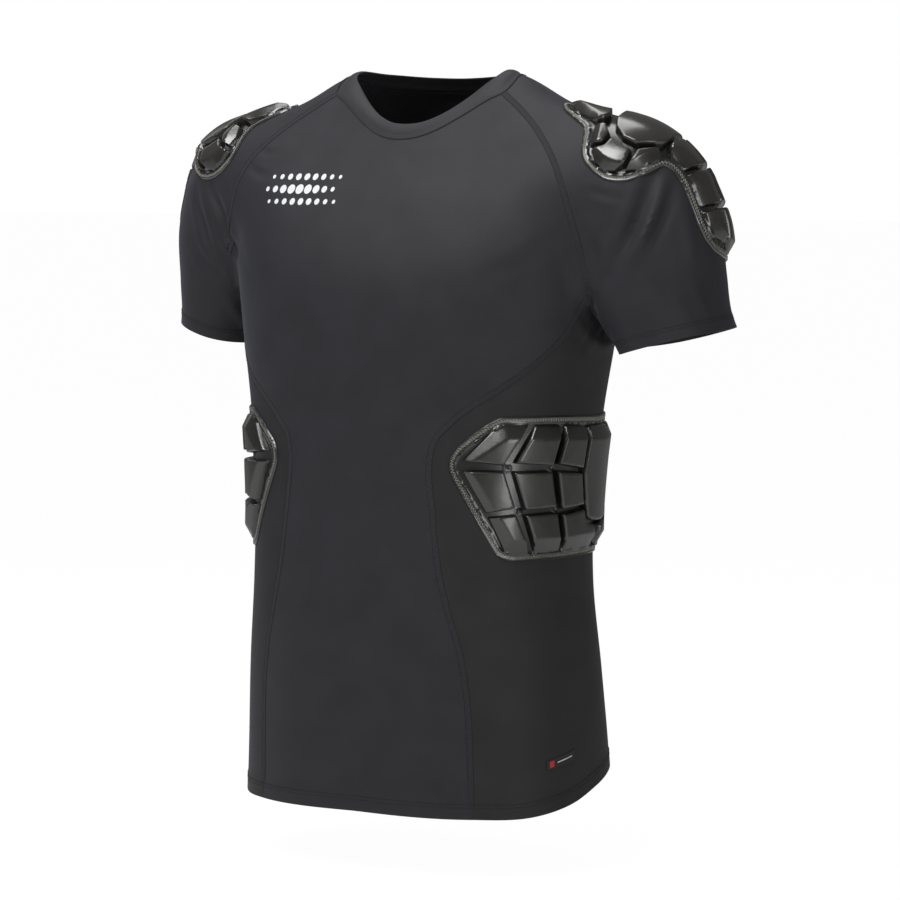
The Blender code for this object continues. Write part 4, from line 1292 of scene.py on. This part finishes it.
RIB_CELLS = [
    [(46.0, -344), (57.2, -312), (66.2, -312), (58.6, -347.5)],
    [(46.0, -352.5), (58.7, -353), (62.2, -386.5), (53.4, -390)],
    [(54.0, -394), (62.4, -392), (66.8, -428.5), (59.4, -427)],
    [(68.4, -313), (77.0, -313.5), (73.8, -348.5), (61.8, -346)],
    [(61.3, -353.5), (73.4, -354), (75.6, -386.5), (65.0, -388)],
    [(65.0, -392.5), (75.8, -391.5), (78.0, -428.5), (69.0, -428.5)],
    [(79.2, -314), (88.2, -316), (86.4, -353.3), (75.8, -347.5)],
    [(75.7, -353.8), (86.0, -356.8), (87.7, -386.5), (77.9, -388.5)],
    [(78.1, -393.5), (88.2, -390.6), (89.2, -403.3), (94.6, -407), (94.6, -427.5), (80.2, -428.5)],
]
RIB_CENTRE_CELL = [
    (90.4, -316.5), (103.6, -316.5), (104.6, -328), (106.3, -357), (103.6, -399.5), (99.2, -402.5),
    (94.8, -402.5), (90.4, -399.5), (87.7, -357), (89.4, -328),
]
RIB_DIMPLES = [(60.0, -350.3), (63.7, -389.7), (74.7, -351.2), (76.8, -389.3)]


def rounded(corners, radius, step):
    """Swing an arc through each corner of a polygon and split its long sides."""
    corners = np.array(corners, float)
    ring = []
    for number, corner in enumerate(corners):
        before = corners[number - 1] - corner
        after = corners[(number + 1) % len(corners)] - corner
        from_point = corner + before / np.linalg.norm(before) * min(radius, 0.4 * np.linalg.norm(before))
        to_point = corner + after / np.linalg.norm(after) * min(radius, 0.4 * np.linalg.norm(after))
        for t in (0.0, 0.25, 0.5, 0.75, 1.0):
            ring.append((1 - t) ** 2 * from_point + 2 * t * (1 - t) * corner + t * t * to_point)
    result = []
    for number, point in enumerate(ring):
        following = ring[(number + 1) % len(ring)]
        count = max(1, round(np.linalg.norm(following - point) / step))
        result += [point + (following - point) * i / count for i in range(count)]
    return np.array(result)


def pad_form(places, edge, feet, dimples, bevel):
    """Height of the pad's skin above the cloth: rim, bead, grooves and bevelled cells."""
    to_edge = clearance(places, edge)
    height = FLANGE_WALL * (1 - np.exp(-to_edge / 0.7))
    height += RIM_BEAD * np.exp(-((to_edge - 1.1) / 0.6) ** 2)
    height += RIM_BEAD * 1.6 * np.exp(-((to_edge - RIM_WIDTH) / 0.6) ** 2)
    height -= 0.5 * ease((to_edge - RIM_WIDTH - 0.3) / 0.6)
    limit = BEVEL_FOOT + bevel * (to_edge - RIM_WIDTH - 0.8)
    shade_by_cell_height = np.zeros(len(places))
    for foot in feet:
        near = np.all((places > foot.min(axis=0)) & (places < foot.max(axis=0)), axis=1)
        index = np.flatnonzero(near)
        index = index[inside_outline(places[index], foot)]
        if len(index) == 0:
            continue
        inward = clearance(places[index], foot)
        deepest = max(inward.max(), 3.0)
        wall = 0.86 * ease(inward / 1.2) + 0.14 * ease((inward - 0.7) / 1.2)
        crown = 0.035 * inward / deepest
        top = -smooth_max(-CELL_RISE * (wall + crown), -limit[index] * ease(inward / 1.2), 0.5)
        height[index] += np.maximum(top, 0)
        # Each cell's height share, used for the painted shade in the grooves
        shade_by_cell_height[index] = np.clip(top / CELL_RISE, 0, 1)
    for dimple in dimples:
        away = np.linalg.norm(places - dimple, axis=1)
        height += 0.9 * np.exp(-((away - 2.4) / 0.7) ** 2) - 1.3 * np.exp(-(away / 1.3) ** 2)
    return height, shade_by_cell_height, to_edge


def spaced_out(taken, places, least):
    """The places that keep their distance from those taken and from each other."""
    squares = {}
    for place in taken:
        squares.setdefault((int(place[0] // least), int(place[1] // least)), []).append(place)
    kept = []
    for place in places:
        column, row = int(place[0] // least), int(place[1] // least)
        near = [other for c in (column - 1, column, column + 1) for r in (row - 1, row, row + 1)
                for other in squares.get((c, r), ())]
        if all((place[0] - other[0]) ** 2 + (place[1] - other[1]) ** 2 > least ** 2 for other in near):
            squares.setdefault((column, row), []).append(place)
            kept.append(place)
    return np.array(kept)


def ridge_places(edge, feet, bevel):
    """Rows of places along the rim's ridges, the bevel's end and the cells' shoulders."""
    rows = []
    bevel_end = RIM_WIDTH + 0.8 + (CELL_RISE - BEVEL_FOOT) / bevel
    for amount in (0.5, 1.1, 1.8, RIM_WIDTH - 0.6, RIM_WIDTH, RIM_WIDTH + 0.7, bevel_end):
        row = stepped_in(edge, amount)
        rows.append(row[clearance(row, edge) > amount - 0.25])
    for foot in feet:
        for amount in (0.7, 1.4, 2.1):
            row = stepped_in(foot, amount)
            rows.append(row[clearance(row, foot) > amount - 0.2])
    return np.vstack(rows)


def pressed_pad(name, outline, cells, to_figure, dimples, bevel, material, side):
    edge = rounded(outline, EDGE_RADIUS, EDGE_STEP)
    feet = [rounded(stepped_in(np.array(cell), -FOOT_OUT), 2.2, 1.7) for cell in cells]
    flat = list(edge)
    loops = [list(range(len(edge)))]
    for foot in feet:
        loops.append(list(range(len(flat), len(flat) + len(foot))))
        flat += list(foot)
    ridges = ridge_places(edge, feet, bevel)
    ridges = ridges[np.min([clearance(ridges, loop) for loop in [edge] + feet], axis=0) > 0.4]
    ridges = spaced_out(flat, ridges, 0.6)
    extra = even_places(edge, PAD_STEP)
    extra = extra[np.min([clearance(extra, loop) for loop in [edge] + feet], axis=0) > 0.55]
    extra = spaced_out(np.vstack([flat, ridges]), extra, 1.0)
    flat = np.vstack([np.array(flat), ridges, extra])
    faces = triangles_of(flat, loops)
    height, shade_by_cell_height, to_edge = pad_form(flat, edge, feet, dimples, bevel)
    height[:len(edge)] = 0
    base = to_figure(flat)
    points = base + outward_at(base) * (height + PAD_LIFT)[:, None]
    faces = faced_outward(points, faces)
    beneath = even_places(edge, 12.5)
    under = np.vstack([edge, beneath[clearance(beneath, edge) > 5.5]])
    under_faces = triangles_of(under, [list(range(len(edge)))])
    under_base = to_figure(under)
    under_points = under_base + outward_at(under_base) * (PAD_LIFT - 0.5)
    under_faces = [face[::-1] for face in faced_outward(under_points, under_faces)]
    start = len(points)
    skirt = []
    for i in range(len(edge)):
        after = (i + 1) % len(edge)
        skirt.append([start + i, start + after, after, i])
    if faces_turn(faces, skirt[0]):
        skirt = [quad[::-1] for quad in skirt]
    points = np.vstack([points, under_points])
    faces = faces + [[start + i for i in face] for face in under_faces] + skirt
    flat = np.vstack([flat, under])
    if side == "right":
        points, faces, flat = turned_over(points, faces, flat)
    item = piece_from(name, points, faces, material, flat, 60)
    # The "cell" attribute carries the painted shade in the grooves; "rim" marks the rim's own colour
    for label, values in (("cell", shade_by_cell_height), ("rim", np.exp(-(to_edge / RIM_WIDTH) ** 4))):
        layer = item.data.attributes.new(label, "FLOAT", "POINT")
        layer.data.foreach_set("value", np.concatenate([values, np.zeros(len(under))]))
    return item


def faces_turn(faces, quad):
    """Whether the skirt's first edge runs the same way as the face above it."""
    first, second = quad[3], quad[2]
    for face in faces:
        if first in face and second in face:
            return face[(face.index(first) + 1) % 3] == second
    return False


def urethane_skin(name, colour, gloss, rim_colour):
    """Smoke-coloured urethane over foam, with painted shade darkening the grooves and the cells' feet, and
    its own colour on the thin rim.
    """
    material, nodes, links, shader = new_material(name)
    # The cells' height share, read here to paint shade into the grooves
    cell = nodes.new("ShaderNodeAttribute")
    cell.attribute_name = "cell"
    rim = nodes.new("ShaderNodeAttribute")
    rim.attribute_name = "rim"
    place = nodes.new("ShaderNodeTexCoord").outputs["Object"]
    smoke = texture(nodes, links, "Noise", place, Scale=45, Detail=4)
    # Painted shade: the base colour falls to 0.28 of itself where the cells' height share is low, in the
    # grooves and at the cells' feet
    shades = shades_of(nodes, links, cell.outputs["Fac"], colour, 0.28, 1.0, 0.05, 0.9)
    rimmed = nodes.new("ShaderNodeMix")
    rimmed.data_type = "RGBA"
    links.new(rim.outputs["Fac"], rimmed.inputs["Factor"])
    links.new(multiplied(nodes, links, shades, smoke.outputs["Fac"], 0.3), rimmed.inputs["A"])
    rimmed.inputs["B"].default_value = (*rim_colour, 1)
    links.new(rimmed.outputs["Result"], shader.inputs["Base Color"])
    grain = texture(nodes, links, "Noise", place, Scale=160, Detail=3)
    add_bump(nodes, links, shader, grain.outputs["Fac"], 0.12, 0.0004)
    polish = nodes.new("ShaderNodeMapRange")
    polish.inputs["To Min"].default_value = gloss - 0.05
    polish.inputs["To Max"].default_value = gloss + 0.08
    links.new(smoke.outputs["Fac"], polish.inputs["Value"])
    links.new(polish.outputs["Result"], shader.inputs["Roughness"])
    set_inputs(shader, Specular_IOR_Level=0.85, Coat_Weight=0.35, Coat_Roughness=0.16)
    return material


def zigzag_row(edge, to_figure):
    """Zigzag stitches on a pad's rim, as starts, ends and outward directions."""
    rows = []
    for amount in (ZIGZAG_INNER, ZIGZAG_OUTER):
        ring = np.column_stack([stepped_in(edge, amount), edge[:, 0] * 0])
        rows.append(along_line(np.vstack([ring, ring[:1]]), ZIGZAG_PITCH)(0)[:, :2])
    a, b = rows
    count = min(len(a), len(b))
    share = np.linspace(0, 1, count)
    a = np.column_stack([np.interp(share, np.linspace(0, 1, len(a)), a[:, c]) for c in range(2)])
    b = np.column_stack([np.interp(share, np.linspace(0, 1, len(b)), b[:, c]) for c in range(2)])
    tops = np.stack([a, b], axis=1).reshape(-1, 2)
    where = to_figure(tops)
    outward = outward_at(where)
    where = where + outward * (PAD_LIFT + FLANGE_WALL + 0.12)
    return where[:-1], where[1:], outward[:-1]


def stepped_in(ring, amount):
    """A closed ring moved towards its inside, point by point."""
    before = np.roll(ring, 1, axis=0)
    after = np.roll(ring, -1, axis=0)
    area = np.sum(ring[:, 0] * after[:, 1] - after[:, 0] * ring[:, 1])
    along = (after - before) / np.linalg.norm(after - before, axis=1, keepdims=True)
    return ring + np.sign(area) * np.column_stack([-along[:, 1], along[:, 0]]) * amount


def rib_spread(places):
    places = np.array(places, float)
    return np.column_stack([(places[:, 0] - SIDE_MIDDLE) * RIB_MM_PER_DEGREE, places[:, 1]])


rib_front = rib_spread(RIB_OUTLINE)
rib_outline = np.vstack([rib_front, (rib_front * (-1, 1))[-2:0:-1]])
rib_cells = [rib_spread(cell) for cell in RIB_CELLS]
rib_cells += [(cell * (-1, 1))[::-1] for cell in rib_cells]
rib_cells.append(rib_spread(RIB_CENTRE_CELL))
rib_dimples = rib_spread(RIB_DIMPLES)
rib_dimples = np.vstack([rib_dimples, rib_dimples * (-1, 1)])
rib_skin = urethane_skin("smoked_urethane_rib_skin", (0.018, 0.017, 0.0145), 0.30, (0.017, 0.0165, 0.016))
pale_thread = spun_thread("pale_zigzag_thread", (0.34, 0.32, 0.27), 0.4)
rib_edge = rounded(rib_outline, EDGE_RADIUS, EDGE_STEP)
rib_zigzag = zigzag_row(rib_edge, side_place)


def other_side(row):
    return tuple(part * (-1, 1, 1) for part in row)


for side in ("left", "right"):
    pad = pressed_pad("rib_pad_skin_" + side, rib_outline, rib_cells, side_place, rib_dimples, RIB_BEVEL,
                      rib_skin, side)
    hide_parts("rib_pad_" + side)
    row = rib_zigzag if side == "left" else other_side(rib_zigzag)
    pad_sewing = sewn_threads("rib_pad_zigzag_" + side, *row, ZIGZAG_THREAD, pale_thread)
    for item in (pad, pad_sewing):
        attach(item, "root")

# Shoulder pads
# The same pressed foam cells and urethane in a cap over each shoulder with a tongue down the
# arm and another towards the neck. Their skin is glossier and its sewn rim is paler.
PAD_TURN = -18
REAR_SHARE = 0.70
CAP_OUTLINE = [
    (92, 0), (91, 12), (82, 19), (60, 19.5), (46, 22.5), (39, 30), (43, 37), (52, 45), (70, 51.5), (84, 55),
    (91, 62), (98, 70), (106, 77.5), (116, 81.5), (135, 81.5), (150, 77.5), (160, 71.5), (167, 64),
    (169.5, 54), (169, 46), (168, 40.5), (176, 37.5), (194, 36.5), (227, 36), (243, 33), (254, 25.5),
    (259, 13), (260, 0),
]
CAP_CELLS = [
    [(49, 33), (53, 26.5), (82, 25.5), (92, 28), (97.5, 37), (96.5, 43.5), (90, 47.5), (67, 45)],
    [(99, 2), (99, 20), (102.5, 30), (105.5, 39), (113, 46), (127, 50), (139, 47.5), (147.5, 39.5), (152, 33),
     (146, 18), (144, 2)],
    [(96.5, 53), (103.5, 48), (114.5, 53), (117, 61.5), (109.5, 69), (101, 62)],
    [(119.5, 55.5), (133.5, 54.5), (141.5, 52), (150.3, 60), (150, 68.5), (141, 74), (126, 75.3),
     (113.5, 71.5), (121.5, 63)],
    [(145.5, 49.5), (153.5, 38.5), (161.5, 39.5), (164, 44.5), (161, 56.5), (157, 63)],
    [(150, 17.5), (154, 31), (164, 34.5), (180, 31.5), (180, 17.5)],
    [(184.5, 17.5), (184.5, 31), (214.5, 30.5), (214.5, 17.5)],
    [(219, 17.5), (219, 30), (239, 29), (247, 17.5)],
]
CAP_CENTRE_CELLS = [
    [(149.5, -13), (149.5, 13), (176, 13), (176, -13)],
    [(180.5, -13), (180.5, 13), (212, 13), (212, -13)],
    [(216.5, -13), (216.5, 13), (245, 13), (253, 5), (253, -5), (245, -13)],
]
CAP_DIMPLES = [(182.3, 15.2), (216.8, 15.2), (182.3, -15.2), (216.8, -15.2)]


def cap_spread(places, behind=False):
    places = np.array(places, float)
    turn = places[:, 1]
    if behind:
        turn = -np.where(turn > 12.5, 12.5 + (turn - 12.5) * REAR_SHARE, turn)
    return np.column_stack([places[:, 0], (turn + PAD_TURN) * CAP_MM_PER_DEGREE])


cap_outline = np.vstack([cap_spread(CAP_OUTLINE), cap_spread(CAP_OUTLINE, True)[-2:0:-1]])
cap_cells = [cap_spread(cell) for cell in CAP_CELLS]
cap_cells += [cap_spread(cell, True)[::-1] for cell in CAP_CELLS]
cap_cells += [cap_spread(cell) for cell in CAP_CENTRE_CELLS]
CAP_BEVEL = 0.72
cap_skin = urethane_skin("smoked_urethane_shoulder_skin", (0.032, 0.030, 0.027), 0.22, (0.030, 0.030, 0.031))
cap_dimples = cap_spread(CAP_DIMPLES)
cap_edge = rounded(cap_outline, EDGE_RADIUS, EDGE_STEP)
cap_zigzag = zigzag_row(cap_edge, sleeve_place)
for side in ("left", "right"):
    pad = pressed_pad("shoulder_pad_skin_" + side, cap_outline, cap_cells, sleeve_place, cap_dimples,
                      CAP_BEVEL, cap_skin, side)
    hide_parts("shoulder_pad_" + side)
    row = cap_zigzag if side == "left" else other_side(cap_zigzag)
    pad_sewing = sewn_threads("shoulder_pad_zigzag_" + side, *row, ZIGZAG_THREAD, pale_thread)
    for item in (pad, pad_sewing):
        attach(item, "root")

# Studio
# A pale seamless floor and soft boxes, with the camera where the photograph was taken.
VIEW_TURN = math.radians(33)
VIEW_DISTANCE = 3.7
VIEW_DROP = 0.069
VIEW_SIDE = 0.0212
VIEW_FOCUS = 160.9


def pale_floor():
    """A floor that the camera sees almost evenly lit, as a long exposure of white paper."""
    mesh = bpy.data.meshes.new("studio_floor")
    low = -0.72
    mesh.from_pydata([(-30, -30, low), (30, -30, low), (30, 30, low), (-30, 30, low)], [], [[0, 1, 2, 3]])
    material, nodes, links, shader = new_material("studio_white")
    shader.inputs["Base Color"].default_value = (0.85, 0.85, 0.85, 1)
    shader.inputs["Roughness"].default_value = 0.9
    paper = nodes.new("ShaderNodeEmission")
    paper.inputs["Strength"].default_value = 1.05
    path = nodes.new("ShaderNodeLightPath")
    share = nodes.new("ShaderNodeMath")
    share.operation = "MULTIPLY"
    share.inputs[1].default_value = 0.93
    links.new(path.outputs["Is Camera Ray"], share.inputs[0])
    either = nodes.new("ShaderNodeMixShader")
    links.new(share.outputs[0], either.inputs[0])
    links.new(shader.outputs[0], either.inputs[1])
    links.new(paper.outputs[0], either.inputs[2])
    links.new(either.outputs[0], nodes["Material Output"].inputs["Surface"])
    mesh.materials.append(material)
    floor = bpy.data.objects.new("studio_floor", mesh)
    bpy.context.scene.collection.objects.link(floor)


def soft_box(name, place, aim, width, height, power):
    light = bpy.data.lights.new(name, "AREA")
    light.shape = "RECTANGLE"
    light.size = width
    light.size_y = height
    light.energy = power
    lamp = bpy.data.objects.new(name, light)
    lamp.location = place
    lamp.rotation_euler = (Vector(aim) - Vector(place)).to_track_quat("-Z", "Y").to_euler()
    bpy.context.scene.collection.objects.link(lamp)


pale_floor()
soft_box("key_box", (-0.2, -1.4, 1.6), (0, 0, -0.03), 1.4, 0.9, 38)
soft_box("top_box", (-0.4, 0.1, 1.9), (0.05, 0, -0.2), 1.8, 1.0, 21)
soft_box("side_strip", (2.2, -1.25, -0.2), (0.2, 0, -0.3), 0.55, 1.4, 12)
soft_box("rim_strip", (-2.0, 0.9, 0.6), (0, 0, -0.3), 0.4, 1.7, 1)

world = bpy.data.worlds.new("studio_light")
bpy.context.scene.world = world
world.use_nodes = True
sky_nodes = world.node_tree.nodes
background = sky_nodes["Background"]
background.inputs["Color"].default_value = (1, 1, 1, 1)
background.inputs["Strength"].default_value = 0.13

seen = sky_nodes.new("ShaderNodeBackground")
seen.inputs["Color"].default_value = (1, 1, 1, 1)
seen.inputs["Strength"].default_value = 1.0
path = sky_nodes.new("ShaderNodeLightPath")
either = sky_nodes.new("ShaderNodeMixShader")
world.node_tree.links.new(path.outputs["Is Camera Ray"], either.inputs[0])
world.node_tree.links.new(background.outputs[0], either.inputs[1])
world.node_tree.links.new(seen.outputs[0], either.inputs[2])
world.node_tree.links.new(either.outputs[0], sky_nodes["World Output"].inputs["Surface"])

back_way = Vector((math.sin(VIEW_TURN), -math.cos(VIEW_TURN), 0))
right_way = Vector((math.cos(VIEW_TURN), math.sin(VIEW_TURN), 0))
lens = bpy.data.cameras.new("photo_view")
lens.sensor_width = 36
lens.lens = VIEW_FOCUS
lens.clip_end = 100
camera = bpy.data.objects.new("photo_view", lens)
camera.location = back_way * VIEW_DISTANCE + right_way * VIEW_SIDE + Vector((0, 0, -VIEW_DROP))
pitch = math.atan(300 / 4021.7)
aim = -back_way * math.cos(pitch) - Vector((0, 0, 1)) * math.sin(pitch)
camera.rotation_euler = aim.to_track_quat("-Z", "Y").to_euler()
bpy.context.scene.collection.objects.link(camera)
bpy.context.scene.camera = camera
bpy.context.scene.view_settings.view_transform = "Standard"
